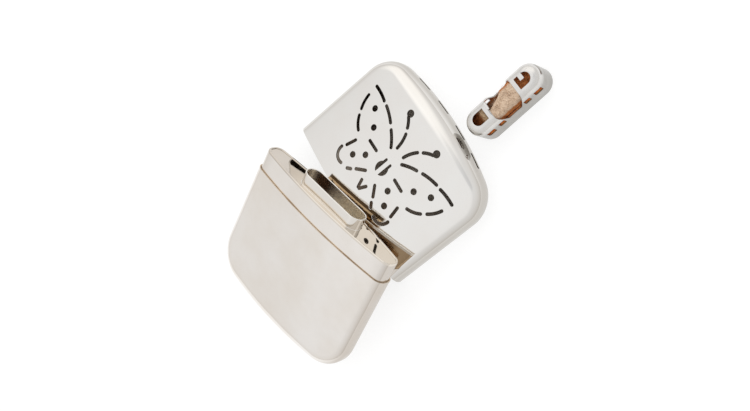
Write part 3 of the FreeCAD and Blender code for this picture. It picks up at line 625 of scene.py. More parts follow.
def quarter_turn(centre_in, centre_z, radius, start, end, steps=6):
    """Profile points round a circle; angles from the outward direction towards the mouth."""
    turns = np.radians(np.linspace(start, end, steps + 1))
    return [(centre_in - radius * out, z, out, up) for _, z, out, up in arc(0.0, centre_z, radius, turns)]


def inset_ring(path, inset):
    """An outline's corners, moved inwards."""
    return path[:, :2] - inset * path[:, 2:]


def sweep(skin, path, profile, slot=0):
    """Carries a profile of inset, height and normal round a closed outline."""
    rows = []
    for inset, z, out, up in profile:
        points = np.column_stack([inset_ring(path, inset), np.full(len(path), z)])
        normals = np.column_stack([out * path[:, 2:], np.full(len(path), up)])
        rows.append((skin.add(points), normals))
    for (points_1, normals_1), (points_2, normals_2) in zip(rows, rows[1:]):
        skin.strip(points_1, points_2, normals_1, normals_2, slot, closed=True)
    return rows


def bands(skin, path, corners, slot=0):
    """Flat bands round a path, with sharp edges between them, from corner to corner of a section."""
    for (inset_1, z_1), (inset_2, z_2) in zip(corners, corners[1:]):
        normal = (float(np.sign(z_2 - z_1)), float(np.sign(inset_2 - inset_1)))
        sweep(skin, path, [(inset_1, z_1, *normal), (inset_2, z_2, *normal)], slot)


# ---------------- sizes that several pieces share

PLATE_FLOOR, PLATE_UNDERSIDE = COLLAR_HEIGHT - 0.3, COLLAR_HEIGHT - 0.8
NECK_TOP, NECK_BOTTOM = COLLAR_HEIGHT + NECK_HEIGHT, PLATE_UNDERSIDE - 2.0
FLANGE_WIDTH, FLANGE_THICKNESS = 1.2, 0.4
NECK_PATH = stadium_path(NECK_LENGTH, NECK_WIDTH)

SOCKET_DEPTH = NECK_HEIGHT + 0.4
WOOL_CLEAR = 2.7
WOOL_LENGTH, WOOL_WIDTH = BURNER_LENGTH - WOOL_CLEAR, BURNER_WIDTH - WOOL_CLEAR
WOOL_BOTTOM, WOOL_TOP, WOOL_EDGE = SOCKET_DEPTH + 1.0, BURNER_HEIGHT - 1.1, 1.8
# The wool lies lower at the cap's two ends, and in a slanting hollow at the middle window's far left.
SINK_DEPTH, SINK_RUN, SINK_RIGHT, SINK_LEFT = 1.8, 1.9, 6.3, 8.6
HOLLOW_DEPTH, HOLLOW_SLANT, HOLLOW_START, HOLLOW_END = 2.2, 0.36, 1.9, 2.8
HOLLOW_LEFT_END, HOLLOW_RIGHT_END, HOLLOW_FADE = -7.2, 0.9, 2.0
# Where the wool's colour changes: an axis of the burner's own, where the change starts and is full.
WOOL_RUST = ((0, 5.2, 7.0), (0, -8.2, -10.4), (2, WOOL_TOP - 1.5, WOOL_TOP - 2.4), (1, 2.0, 3.2))
WOOL_ORANGE = ((2, WOOL_TOP - 2.6, WOOL_TOP - 3.2), (0, 4.8, 5.8, True))
WOOL_SHADOWS = (((0, -6.0, -7.4), (0.60, 0.56, 0.46)), ((0, -9.8, -11.2), (0.50, 0.42, 0.36)))


# ---------------- material nodes

def add_node(tree, kind, inputs=(), **settings):
    """A new node; each of its inputs gets a value or is linked to another node's output."""
    node = tree.nodes.new(kind)
    for name, value in settings.items():
        setattr(node, name, value)
    for key, value in dict(inputs).items():
        if isinstance(value, bpy.types.NodeSocket):
            tree.links.new(value, node.inputs[key])
        else:
            node.inputs[key].default_value = value
    return node


def blank(name):
    """A new node material with its node tree and its shader."""
    material = bpy.data.materials.new(name)
    material.use_nodes = True
    return material, material.node_tree, material.node_tree.nodes["Principled BSDF"]


def noise_share(tree, scale, detail, rough, stretch=(1, 1, 1)):
    """Noise over the piece's own place in space, so it stays with the piece."""
    place = add_node(tree, "ShaderNodeTexCoord")
    mapping = add_node(tree, "ShaderNodeMapping", {"Vector": place.outputs["Object"], "Scale": stretch})
    inputs = {"Vector": mapping.outputs["Vector"], "Scale": scale, "Detail": detail, "Roughness": rough}
    return add_node(tree, "ShaderNodeTexNoise", inputs).outputs["Fac"]


def ramp_colour(tree, source, stops):
    """A colour that a share runs through, from stop to stop."""
    ramp = add_node(tree, "ShaderNodeValToRGB", {"Fac": source})
    elements = ramp.color_ramp.elements
    while len(elements) < len(stops):
        elements.new(0.5)
    for element, (place, colour) in zip(elements, stops):
        element.position = place
        element.color = (*colour, 1)
    return ramp.outputs["Color"]


def smooth_share(tree, value, start, end, most=1.0):
    """0 before start and the most past end, also where start is the larger one."""
    inputs = {"Value": value, "From Min": min(start, end), "From Max": max(start, end),
              "To Min": 0.0 if start < end else most, "To Max": most if start < end else 0.0}
    return add_node(tree, "ShaderNodeMapRange", inputs, interpolation_type="SMOOTHSTEP").outputs["Result"]


def share_along(tree, place, axis, start, end, both_ways=False):
    """A share along a piece's own axis, or a weighted sum of its axes, in millimetres."""
    weights = axis if isinstance(axis, tuple) else tuple(float(axis == i) for i in range(3))
    rows = place.inverted()
    row = [sum(weight * rows[i][j] for i, weight in enumerate(weights)) for j in range(4)]
    spot = add_node(tree, "ShaderNodeTexCoord").outputs["Object"]
    along = add_node(tree, "ShaderNodeVectorMath", {0: spot, 1: row[:3]}, operation="DOT_PRODUCT")
    value = add_node(tree, "ShaderNodeMath", {0: along.outputs["Value"], 1: row[3]}).outputs["Value"]
    if both_ways:
        value = add_node(tree, "ShaderNodeMath", {0: value}, operation="ABSOLUTE").outputs["Value"]
    return smooth_share(tree, value, start, end)


def product(tree, first, second):
    """A share times another share or a number."""
    return add_node(tree, "ShaderNodeMath", {0: first, 1: second}, operation="MULTIPLY").outputs["Value"]


def mixed(tree, share, first, second, blend="MIX"):
    """Two colours or colour outputs, mixed by a share."""
    first, second = ((*colour, 1) if isinstance(colour, tuple) else colour for colour in (first, second))
    inputs = {"Factor": share, 6: first, 7: second}
    return add_node(tree, "ShaderNodeMix", inputs, data_type="RGBA", blend_type=blend).outputs[2]


def add_relief(tree, shader, height, strength, distance):
    """Fine relief in a surface's shading, from a share that stands for its height."""
    inputs = {"Height": height, "Strength": strength, "Distance": distance}
    bump = add_node(tree, "ShaderNodeBump", inputs)
    tree.links.new(bump.outputs["Normal"], shader.inputs["Normal"])


# ---------------- materials

SMUDGE_SCALE, WAVE_SCALE, WAVE_HEIGHT = 260.0, 70.0, 0.005


def metal(name, colour, tint, roughness, spread, waves=0.0, patch=90.0, painted_shade=()):
    """Plated sheet metal: two close shades in soft patches, uneven polish, slight waviness and painted
    shade.
    """
    material, tree, shader = blank(name)
    shader.inputs["Metallic"].default_value = 1.0
    shown = ramp_colour(tree, noise_share(tree, patch, 3.0, 0.55), [(0.35, colour), (0.68, tint)])
    # Each entry multiplies a darker colour in over a range of the piece: painted shade.
    for darker, *ranges in painted_shade:
        share = share_along(tree, *ranges[0])
        for other in ranges[1:]:
            share = product(tree, share, share_along(tree, *other))
        shown = mixed(tree, share, shown, darker, "MULTIPLY")
    tree.links.new(shown, shader.inputs["Base Color"])
    polish = add_node(tree, "ShaderNodeMapRange", {
        "Value": noise_share(tree, SMUDGE_SCALE, 5.0, 0.6), "From Min": 0.35, "From Max": 0.75,
        "To Min": roughness, "To Max": roughness + spread})
    tree.links.new(polish.outputs["Result"], shader.inputs["Roughness"])
    if waves:
        add_relief(tree, shader, noise_share(tree, WAVE_SCALE, 2.0, 0.5), waves, WAVE_HEIGHT)
    return material


def fibrous(name, roughness):
    """A new material for wool, felt or cotton, hardly shiny."""
    material, tree, shader = blank(name)
    shader.inputs["Roughness"].default_value = roughness
    shader.inputs["Specular IOR Level"].default_value = 0.2
    return material, tree, shader


def padding(name, dark, light, scale, relief, distance):
    """Felt or cotton in mottled shades."""
    material, tree, shader = fibrous(name, 0.95)
    mottled = ramp_colour(tree, noise_share(tree, scale, 5.0, 0.65), [(0.3, dark), (0.7, light)])
    tree.links.new(mottled, shader.inputs["Base Color"])
    add_relief(tree, shader, noise_share(tree, scale * 4, 4.0, 0.7, (1, 3, 1)), relief, distance)
    return material


def wool_look():
    """Beige wool with fine dark flecks, scorched to rust at its ends and low on its sides, with painted
    shade in its hollow and towards its -x end.
    """
    material, tree, shader = fibrous("catalyst_wool_look", 0.9)

    def along(axis, start, end, both_ways=False):
        return share_along(tree, BURNER_PLACE, axis, start, end, both_ways)

    flecks = noise_share(tree, 1900.0, 5.0, 0.7)
    shown = ramp_colour(tree, flecks, [
        (0.30, (0.30, 0.185, 0.115)), (0.42, (0.60, 0.43, 0.30)), (0.56, (0.76, 0.58, 0.43)),
        (0.75, (0.88, 0.72, 0.57))])
    scorched = ramp_colour(tree, flecks, [
        (0.30, (0.20, 0.06, 0.018)), (0.50, (0.52, 0.18, 0.055)), (0.72, (0.76, 0.33, 0.12))])
    for burnt in WOOL_RUST:
        shown = mixed(tree, along(*burnt), shown, scorched)
    # Painted shade darkens the wool where it lies lower in its hollow at the middle window's far left.
    hollow_shade = along((-HOLLOW_SLANT, 1.0, 0.0), HOLLOW_START, HOLLOW_END)
    hollow_shade = product(tree, hollow_shade, along(0, HOLLOW_LEFT_END, HOLLOW_LEFT_END + 0.8))
    hollow_shade = product(tree, hollow_shade, along(0, HOLLOW_RIGHT_END, HOLLOW_RIGHT_END - HOLLOW_FADE))
    shown = mixed(tree, hollow_shade, shown, (0.34, 0.31, 0.29), "MULTIPLY")
    for shadow, shade in WOOL_SHADOWS:
        shown = mixed(tree, along(*shadow), shown, shade, "MULTIPLY")
    low_ends = product(tree, *(along(*burnt) for burnt in WOOL_ORANGE))
    shown = mixed(tree, low_ends, shown, (0.95, 0.42, 0.13))
    tree.links.new(shown, shader.inputs["Base Color"])
    add_relief(tree, shader, noise_share(tree, 2600.0, 4.0, 0.7), 0.6, 0.0002)
    return material


# Each range of painted shade names a piece's place, an axis, and where the tint starts and is full.
BACK = (TANK_PLACE, 1, 0.6, 2.2)
UNDER_LIP = (TANK_PLACE, 2, NECK_TOP - 0.3, NECK_TOP - 0.4)
# Painted shade: the tank's and the collar's narrow sides are darker than their faces.
TANK_SIDE_SHADE = ((0.71, 0.685, 0.655), (TANK_PLACE, 1, 4.5, 2.2, True))
# Painted shade: the lid's narrow sides are darker than its face.
LID_NICKEL = metal("lid_nickel_look", (0.775, 0.76, 0.735), (0.765, 0.74, 0.71), 0.03, 0.03, waves=0.015,
                   painted_shade=[((0.72, 0.705, 0.68), (LID_PLACE, 1, 4.8, 2.2, True))])
TANK_NICKEL = metal("tank_nickel_look", (0.845, 0.815, 0.785), (0.805, 0.76, 0.71), 0.045, 0.05,
                    waves=0.05, patch=60.0, painted_shade=[TANK_SIDE_SHADE])
# Painted shade on the collar's back, where it faces the lid across a dark gap: browner all along, and darker
# except near its end at +x.
COLLAR_NICKEL = metal("collar_look", (0.84, 0.805, 0.77), (0.81, 0.77, 0.725), 0.035, 0.03, waves=0.03,
                      painted_shade=[TANK_SIDE_SHADE, ((0.60, 0.46, 0.31), BACK),
                               ((0.42, 0.34, 0.27), BACK, (TANK_PLACE, 0, 27.0, 22.0))])
# Painted shade: the plate is darker towards its -x end.
PLATE_NICKEL = metal("plate_look", (0.735, 0.68, 0.61), (0.71, 0.65, 0.575), 0.02, 0.02, waves=0.02,
                     painted_shade=[((0.84, 0.83, 0.83), (TANK_PLACE, 0, -10.0, -20.0))])
# Painted shade on the neck's back, which faces the lid across a dark gap: browner below the lip, with a dark
# band just under the lip and another low down.
NECK_NICKEL = metal("neck_look", (0.80, 0.77, 0.73), (0.78, 0.745, 0.70), 0.04, 0.03,
                    painted_shade=[((0.74, 0.56, 0.36), BACK, UNDER_LIP),
                             ((0.15, 0.13, 0.11), BACK, UNDER_LIP,
                              (TANK_PLACE, 2, NECK_TOP - 1.6, NECK_TOP - 1.4)),
                             ((0.22, 0.17, 0.13), BACK,
                              (TANK_PLACE, 2, NECK_TOP - 3.4, NECK_TOP - 3.9))])
# Painted light and shade inside the neck: a near-white base brightens it to make up for little light, and a
# dark painted shade lies over part of its -x half.
NECK_INSIDE = metal("neck_inside_look", (0.99, 0.93, 0.81), (0.97, 0.88, 0.74), 0.38, 0.04,
                    painted_shade=[((0.16, 0.10, 0.075), (TANK_PLACE, 0, -1.0, -7.5),
                              (TANK_PLACE, 0, -14.2, -11.0))])
NICKEL_INSIDE = metal("nickel_inside_look", (0.38, 0.34, 0.295), (0.27, 0.235, 0.20), 0.34, 0.12, waves=0.2)
SEAM_METAL = metal("seam_look", (0.68, 0.56, 0.43), (0.44, 0.33, 0.23), 0.34, 0.10)
# Painted shade: the cap's wall grows darker towards its foot.
BURNER = metal("burner_look", (0.73, 0.715, 0.695), (0.67, 0.655, 0.635), 0.20, 0.10, waves=0.2,
               patch=260.0, painted_shade=[((0.58, 0.57, 0.55), (BURNER_PLACE, 2, 10.6, 7.4))])
# The cap's inside and the tray are orange from heat, made brighter than that tint to make up for little
# light inside: partly painted light.
BURNER_INSIDE = metal("burner_inside_look", (0.95, 0.52, 0.22), (0.84, 0.40, 0.15), 0.32, 0.15, patch=420.0)
TRAY = metal("tray_look", (0.97, 0.55, 0.22), (0.88, 0.44, 0.16), 0.34, 0.12, patch=420.0)
GAUZE = metal("gauze_look", (0.60, 0.42, 0.28), (0.42, 0.26, 0.16), 0.38, 0.10, patch=900.0)
WOOL = wool_look()
FELT = padding("felt_look", (0.52, 0.47, 0.40), (0.66, 0.62, 0.55), 900.0, 0.6, 0.0002)
COTTON = padding("cotton_look", (0.70, 0.68, 0.64), (0.82, 0.80, 0.77), 500.0, 0.7, 0.0003)


# ---------------- tank, collar, plate and neck

TANK_CROWN = arc_radius(TANK["width"] / 2, TANK["crown_rise"])
COLLAR_OVERLAP = 6.0
COLLAR_PATH = oval_path(TANK["width"] - 2 * COLLAR_INSET, TANK["thickness"] - 2 * COLLAR_INSET,
                        TANK_CROWN - COLLAR_INSET, TANK["edge"] - COLLAR_INSET)
PLATE_RIM, RIM_OUTSIDE, RIM_INSIDE, PLATE_SPACING = 0.9, 0.35, 0.3, 1.6
NECK_GAP, LIP, BEAD = 0.05, 0.22, 0.15


def make_collar():
    """The sleeve in the tank's mouth, open at both ends."""
    skin = Skin()
    sweep(skin, COLLAR_PATH, [(0, z, 1, 0) for z in (-COLLAR_OVERLAP, 0, PLATE_UNDERSIDE)], 0)
    bands(skin, COLLAR_PATH, [(0, PLATE_UNDERSIDE), (WALL, PLATE_UNDERSIDE), (WALL, -COLLAR_OVERLAP),
                              (0, -COLLAR_OVERLAP)], 1)
    return skin.build("collar_band", TANK_PLACE, [COLLAR_NICKEL, NICKEL_INSIDE])


def make_plate():
    """The plate that closes the collar: a rolled rim round a lower floor with a hole for the neck."""
    rolled = quarter_turn(RIM_OUTSIDE, COLLAR_HEIGHT - RIM_OUTSIDE, RIM_OUTSIDE, 0, 90)
    rolled += quarter_turn(PLATE_RIM - RIM_INSIDE, PLATE_FLOOR, RIM_INSIDE, 90, 180)
    hole = stadium_path(NECK_LENGTH + 2 * NECK_GAP, NECK_WIDTH + 2 * NECK_GAP)
    pattern = Pattern([Cutout([tuple(p) for p in hole[:, :2]], step=99.0)], 0.0)
    skin = Skin()
    sweep(skin, COLLAR_PATH, [(0, PLATE_UNDERSIDE, 1, 0)] + rolled)
    for inset, height, up in ((PLATE_RIM, PLATE_FLOOR, 1), (0, PLATE_UNDERSIDE, -1)):
        flat, faces = triangulated(inset_ring(COLLAR_PATH, inset), pattern, PLATE_SPACING)
        corners = skin.add(np.column_stack([flat, np.full(len(flat), height)]))
        for face in faces:
            skin.face([corners[i] for i in face], [(0, 0, up)] * 3)
    bands(skin, hole, [(0, PLATE_FLOOR), (0, PLATE_UNDERSIDE)])
    return skin.build("closing_plate", TANK_PLACE, [PLATE_NICKEL])


def make_neck():
    """The filler neck: a lip rolled inwards, a bead at its root, and a flange under the plate."""
    bead = [(-BEAD + BEAD * math.sin(t), PLATE_FLOOR + BEAD - BEAD * math.cos(t), math.sin(t), math.cos(t))
            for t in np.linspace(0, math.pi / 2, 7)]
    flange_low = PLATE_UNDERSIDE - FLANGE_THICKNESS
    skin = Skin()
    sweep(skin, NECK_PATH, bead + quarter_turn(LIP, NECK_TOP - LIP, LIP, 0, 90))
    sweep(skin, NECK_PATH, quarter_turn(WALL - LIP, NECK_TOP - LIP, LIP, 90, 180))
    sweep(skin, NECK_PATH, [(LIP, NECK_TOP, 0, 1), (WALL - LIP, NECK_TOP, 0, 1)])
    bands(skin, NECK_PATH, [(WALL, NECK_TOP - LIP), (WALL, NECK_BOTTOM), (0, NECK_BOTTOM), (0, flange_low),
                            (-FLANGE_WIDTH, flange_low), (-FLANGE_WIDTH, PLATE_UNDERSIDE),
                            (0, PLATE_UNDERSIDE), (0, PLATE_FLOOR), (-BEAD, PLATE_FLOOR)], 1)
    return skin.build("neck_tube", TANK_PLACE, [NECK_NICKEL, NECK_INSIDE])


tank = drawn_shell("tank_case", TANK, TANK_PLACE, [TANK_NICKEL, NICKEL_INSIDE, SEAM_METAL], edge_shade=2)
collar = make_collar()
plate = make_plate()
neck = make_neck()


# ---------------- lid

END_VENT_LENGTH, END_VENT_PITCH = 6.2, 11.2


def butterfly():
    """The vents in the lid's front: two mirrored wings of strokes, five pairs of dots and two slits."""
    def place(side, x, h):
        return side * BUTTERFLY_HALF_SPAN * x, -BUTTERFLY_MIDDLE - BUTTERFLY_HALF_SPAN * h

    shapes = []
    for side in (1, -1):
        for x1, h1, x2, h2, bulge in BUTTERFLY_STROKES:
            reach = -side * BUTTERFLY_HALF_SPAN * bulge
            shapes.append(Slot(place(side, x1, h1), place(side, x2, h2), SLOT_WIDTH, reach))
        ring = body_slit(side, *(BUTTERFLY_HALF_SPAN * share for share in BUTTERFLY_BODY))
        shapes.append(Cutout([(x, -BUTTERFLY_MIDDLE - h) for x, h in reversed(ring)], step=9.0))
        shapes += [Dot(place(side, x, h), DOT_DIAMETER if index else ANTENNA_DOT)
                   for index, (x, h) in enumerate(BUTTERFLY_DOTS)]
    return Pattern(shapes, VENT_ROLL)


def end_vents():
    """The row of vents along the lid's closed end, as places across the lid."""
    reach = (END_VENT_LENGTH - END_VENT_WIDTH) / 2
    middles = [step * END_VENT_PITCH for step in (-1.5, -0.5, 0.5, 1.5)]
    return [(middle - reach, middle + reach) for middle in middles]


lid = drawn_shell("lid_case", LID, LID_PLACE, [LID_NICKEL, NICKEL_INSIDE], butterfly(), end_vents())


# ---------------- burner: its cap

BURNER_REACH = (BURNER_LENGTH - BURNER_WIDTH) / 2
BURNER_RADIUS = BURNER_WIDTH / 2
TOP_RADIUS = BURNER_RADIUS - BURNER_EDGE
SHOULDER = BURNER_HEIGHT - BURNER_EDGE
DOME_RUN = TOP_RADIUS + BURNER_EDGE * math.pi / 2
CAP_ROUND = 4 * BURNER_REACH + 2 * math.pi * BURNER_RADIUS
PUNCH_ROLL = 0.15
SEAM = 7.85    # where the wall's sheet meets, from the cap's middle

WINDOW_HALF, WINDOW_FOOT, WINDOW_SILL = 5.5, 2.7, 6.2
SIDE_SLOTS, SIDE_SLOT_SILL, SIDE_SLOT_HEAD = ((4.4, 6.9), (8.8, 12.0)), 5.45, 8.55
END_SLOT_HALF, END_SLOT_SILL, END_SLOT_HEAD = 2.2, 9.0, 10.1
D_NEAR, D_FAR, D_HALF = 7.2, 12.4, 2.2
TONGUE_START, TONGUE_END, TONGUE_TIP = 8.7, 10.4, 0.15
CAP_STEPS, CAP_ROWS, DOME_SPACING, WALL_SPACING = 200, 21, 0.5, 0.6
BELOW_FOOT = 1.0    # the wall's chart runs on past the foot, where the pattern cuts it off
TAB_NEAR, TAB_WIDTH, TAB_DROP, TAB_LIFT, TAB_ROOT, TAB_BACK = 0.3, 2.7, 0.8, 0.012, -0.3, 0.02


def run_at(height):
    """How far a height lies from the cap's spine, measured over the dome and down the side."""
    if height < SHOULDER:
        return DOME_RUN + SHOULDER - height
    return TOP_RADIUS + BURNER_EDGE * math.acos((height - SHOULDER) / BURNER_EDGE)


def round_cap(x, side):
    """The distance round the cap's wall to a place x on one of its sides, from the seam."""
    straight = min(abs(x), BURNER_REACH)
    bend = math.asin(min((abs(x) - straight) / BURNER_RADIUS, 1.0)) * BURNER_RADIUS
    along = math.copysign(straight + bend, x)
    if side > 0:
        return (SEAM - along) % CAP_ROUND
    return SEAM + 2 * BURNER_REACH + math.pi * BURNER_RADIUS + along


def round_spine(distance):
    """From the distance round the cap: the nearest place on its spine, and the way out from there."""
    half_round, straight = math.pi * BURNER_RADIUS, 2 * BURNER_REACH
    left = min(max(distance, 0.0), CAP_ROUND) - SEAM - BURNER_REACH
    if left <= 0:
        middle, turn = -BURNER_REACH - left, math.pi / 2
    elif left <= half_round:
        middle, turn = -BURNER_REACH, math.pi / 2 + left / BURNER_RADIUS
    elif left <= half_round + straight:
        middle, turn = -BURNER_REACH + left - half_round, 1.5 * math.pi
    elif left <= 2 * half_round + straight:
        middle, turn = BURNER_REACH, math.pi / 2 + (left - straight) / BURNER_RADIUS
    else:
        middle, turn = BURNER_REACH - (left - 2 * half_round - straight), 2.5 * math.pi
    return middle, math.cos(turn), math.sin(turn)


def cap_side(flat):
    """From the chart of the cap's wall, distance round and distance from the spine, to its own frame."""
    middle, out_x, out_y = np.array([round_spine(s) for s in flat[:, 0]]).T
    zero, one = np.zeros(len(flat)), np.ones(len(flat))
    height = SHOULDER - np.maximum(flat[:, 1] - DOME_RUN, 0.0)
    base = np.stack([middle + BURNER_RADIUS * out_x, BURNER_RADIUS * out_y, height], axis=1)
    return (base, np.stack([out_x, out_y, zero], axis=1), np.stack([-out_y, out_x, zero], axis=1),
            np.stack([zero, zero, -one], axis=1))


def cap_dome(flat):
    """From the chart of the cap's domed top, laid flat from its spine outwards, to its own frame."""
    spine = np.clip(flat[:, 0], -BURNER_REACH, BURNER_REACH)
    zero = np.zeros(len(flat))
    off = flat - np.stack([spine, zero], axis=1)
    far = np.hypot(*off.T)
    out = np.where(far[:, None] > 1e-9, unit(off), (0.0, 1.0))
    lean = np.clip((far - TOP_RADIUS) / BURNER_EDGE, 0, math.pi / 2)
    reach = np.minimum(far, TOP_RADIUS) + BURNER_EDGE * np.sin(lean)
    height = SHOULDER + BURNER_EDGE * np.cos(lean)
    down = np.column_stack([out * np.cos(lean)[:, None], -np.sin(lean)])
    beside = np.column_stack([-out[:, 1], out[:, 0], zero])
    return (np.stack([spine + reach * out[:, 0], reach * out[:, 1], height], axis=1),
            np.column_stack([out * np.sin(lean)[:, None], np.cos(lean)]),
            out[:, :1] * down - out[:, 1:] * beside, out[:, 1:] * down + out[:, :1] * beside)


def box_hole(left, right, low, high, corner=0.25):
    """A rectangular hole with slightly rounded corners."""
    ring = []
    for x, y, start in ((right - corner, high - corner, 0), (left + corner, high - corner, 90),
                        (left + corner, low + corner, 180), (right - corner, low + corner, 270)):
        ring += arc_points(x, y, corner, np.radians(start + np.array((0, 30, 60, 90))))
    return Cutout(ring)


def window_edge():
    """Down one side of the middle window: half width and distance from the spine, to the sill."""
    head = BURNER_HEIGHT - WALL
    heights = np.unique(np.concatenate([np.linspace(WINDOW_SILL, SHOULDER, 8),
                                        np.linspace(SHOULDER, head, 8)]))[::-1]
    widening = (WINDOW_HALF - WINDOW_FOOT) / (head - WINDOW_SILL)
    return [(WINDOW_FOOT + widening * (z - WINDOW_SILL), run_at(z)) for z in heights]


def window_side(side):
    """The middle window in the wall's chart; it runs on over the dome."""
    middle = round_cap(0, side)
    edge = [(WINDOW_HALF, 0.0)] + window_edge()
    return Cutout([(middle + half, far) for half, far in edge]
                  + [(middle - half, far) for half, far in reversed(edge)], step=9.0)


def window_top():
    """The same window in the dome's chart."""
    edge = window_edge()
    back = edge[::-1]
    return Cutout([(half, -far) for half, far in back] + edge
                  + [(-half, far) for half, far in back] + [(-half, -far) for half, far in edge], step=9.0)


def end_slot(side):
    """The slot in the dome's end: between two heights, as wide as a straight cut makes it."""
    def bent(height):
        lean = math.acos((height - SHOULDER) / BURNER_EDGE)
        spread = math.asin(END_SLOT_HALF / (TOP_RADIUS + BURNER_EDGE * math.sin(lean)))
        return arc_points(BURNER_REACH, 0.0, run_at(height), np.linspace(-spread, spread, 9))

    return Cutout(mirrored(bent(END_SLOT_SILL) + bent(END_SLOT_HEAD)[::-1], side))


def end_window(side, tongue):
    """A D-shaped window, round towards the cap's end; one of the two has a tongue in it."""
    bend = D_FAR - D_HALF
    ring = [(D_NEAR, -D_HALF)] + arc_points(bend, 0.0, D_HALF, np.linspace(-math.pi / 2, math.pi / 2, 17))
    if tongue:
        ring += [(TONGUE_END, D_HALF), (TONGUE_END, TONGUE_TIP), (TONGUE_START, TONGUE_TIP),
                 (TONGUE_START, D_HALF)]
    ring.append((D_NEAR, D_HALF))
    return Cutout(mirrored(ring, side))


def side_pattern():
    """The holes in the cap's wall, and the cut along its foot, in the wall's chart."""
    shapes = [window_side(1), window_side(-1)]
    for side in (1, -1):
        for near, far in SIDE_SLOTS:
            for end in (1, -1):
                left, right = sorted((round_cap(end * near, side), round_cap(end * far, side)))
                shapes.append(box_hole(left, right, run_at(SIDE_SLOT_HEAD), run_at(SIDE_SLOT_SILL)))
    foot, spare = run_at(0), 3 * BELOW_FOOT
    shapes.append(Cutout([(-spare, foot), (CAP_ROUND + spare, foot), (CAP_ROUND + spare, foot + spare),
                          (-spare, foot + spare)]))
    return Pattern(shapes, PUNCH_ROLL)


def top_pattern():
    """The holes in the cap's domed top."""
    return Pattern([window_top(), end_window(1, True), end_window(-1, False), end_slot(1), end_slot(-1)],
                   PUNCH_ROLL)


def add_tab(skin):
    """The small tab that is bent down at the edge of the middle window."""
    tab = [(TAB_ROOT, 0.0, 0.0, 1.0)]
    tab += [(WALL * math.sin(t), -WALL + WALL * math.cos(t), math.sin(t), math.cos(t))
            for t in np.linspace(0, math.pi / 2, 7)]
    tab += [(WALL, -TAB_DROP, 1.0, 0.0), (WALL, -TAB_DROP, 0.0, -1.0), (TAB_BACK, -TAB_DROP, 0.0, -1.0),
            (TAB_BACK, -TAB_DROP, -1.0, 0.0), (TAB_BACK, -WALL, -1.0, 0.0), (TAB_ROOT, -WALL, 0.0, -1.0)]
    normals = [(nx, 0.0, nz) for _, _, nx, nz in tab]
    near, far = (skin.add([(x - WINDOW_HALF, y, BURNER_HEIGHT + TAB_LIFT + z) for x, z, _, _ in tab])
                 for y in (TAB_NEAR, TAB_NEAR + TAB_WIDTH))
    skin.strip(near, far, normals, normals, 0)
    # Each end fans out from the inner corner, ring[12]; points 9 and 11 lie where 8 and 10 do.
    for ring, facing in ((near, -1.0), (far, 1.0)):
        rim = [ring[13], *ring[:9], ring[10]]
        for a, b in zip(rim, rim[1:]):
            skin.face((a, b, ring[12]), [(0.0, facing, 0.0)] * 3, 0)


def make_cap():
    """The burner's cap: a domed top and a wall of one bent sheet, with their windows and the tab."""
    skin = Skin()
    steps = np.linspace(0, CAP_ROUND, CAP_STEPS + 1)
    rim = [(middle + DOME_RUN * out_x, DOME_RUN * out_y)
           for middle, out_x, out_y in (round_spine(s) for s in steps[:-1])]
    pattern = top_pattern()
    flat, faces = triangulated(rim, pattern, DOME_SPACING)
    lay(skin, flat, faces, cap_dome, pattern)
    downs = np.linspace(DOME_RUN, run_at(0) + BELOW_FOOT, CAP_ROWS + 1)
    outline = [(s, DOME_RUN) for s in steps] + [(CAP_ROUND, t) for t in downs[1:]]
    outline += [(s, downs[-1]) for s in steps[::-1][1:]] + [(0.0, t) for t in downs[::-1][1:-1]]
    pattern = side_pattern()
    flat, faces = triangulated(outline, pattern, WALL_SPACING)
    lay(skin, flat, faces, cap_side, pattern)
    add_tab(skin)
    return skin.build("burner_case", BURNER_PLACE, [BURNER, BURNER_INSIDE])


cap = make_cap()


# ---------------- burner: tray, gauze and wool

for node, look in (("burner_tray", TRAY), ("catalyst_gauze", GAUZE)):
    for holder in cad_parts[node].material_slots:
        holder.material = look


def lumps(point, scale, seed):
    """Smooth noise at a point, from about -1 to 1."""
    return noise.noise(Vector(point) * scale + Vector((seed, seed * 1.7, -seed)))


def sunk(x):
    """How far the wool lies lower towards the cap's ends."""
    start = SINK_RIGHT if x > 0 else SINK_LEFT
    share = min(max((abs(x) - start) / SINK_RUN, 0.0), 1.0)
    return SINK_DEPTH * share * share * (3 - 2 * share)


def hollow(x, y):
    """How far the wool lies lower at the far left corner of the middle window."""
    across = np.interp(y - HOLLOW_SLANT * x, (HOLLOW_START, HOLLOW_END), (0.0, 1.0))
    places = (HOLLOW_LEFT_END, HOLLOW_LEFT_END + 1.2, HOLLOW_RIGHT_END - HOLLOW_FADE, HOLLOW_RIGHT_END)
    along = np.interp(x, places, (0.0, 1.0, 1.0, 0.0))
    return HOLLOW_DEPTH * across * along


WOOL_FOOT, WOOL_STEP, WOOL_SWELL = 0.5, 0.35, 0.22
WOOL_LUMPS = ((0.24, 0.55, 0.0), (0.14, 1.7, 3.0), (0.07, 5.0, 7.0))    # height, scale and seed


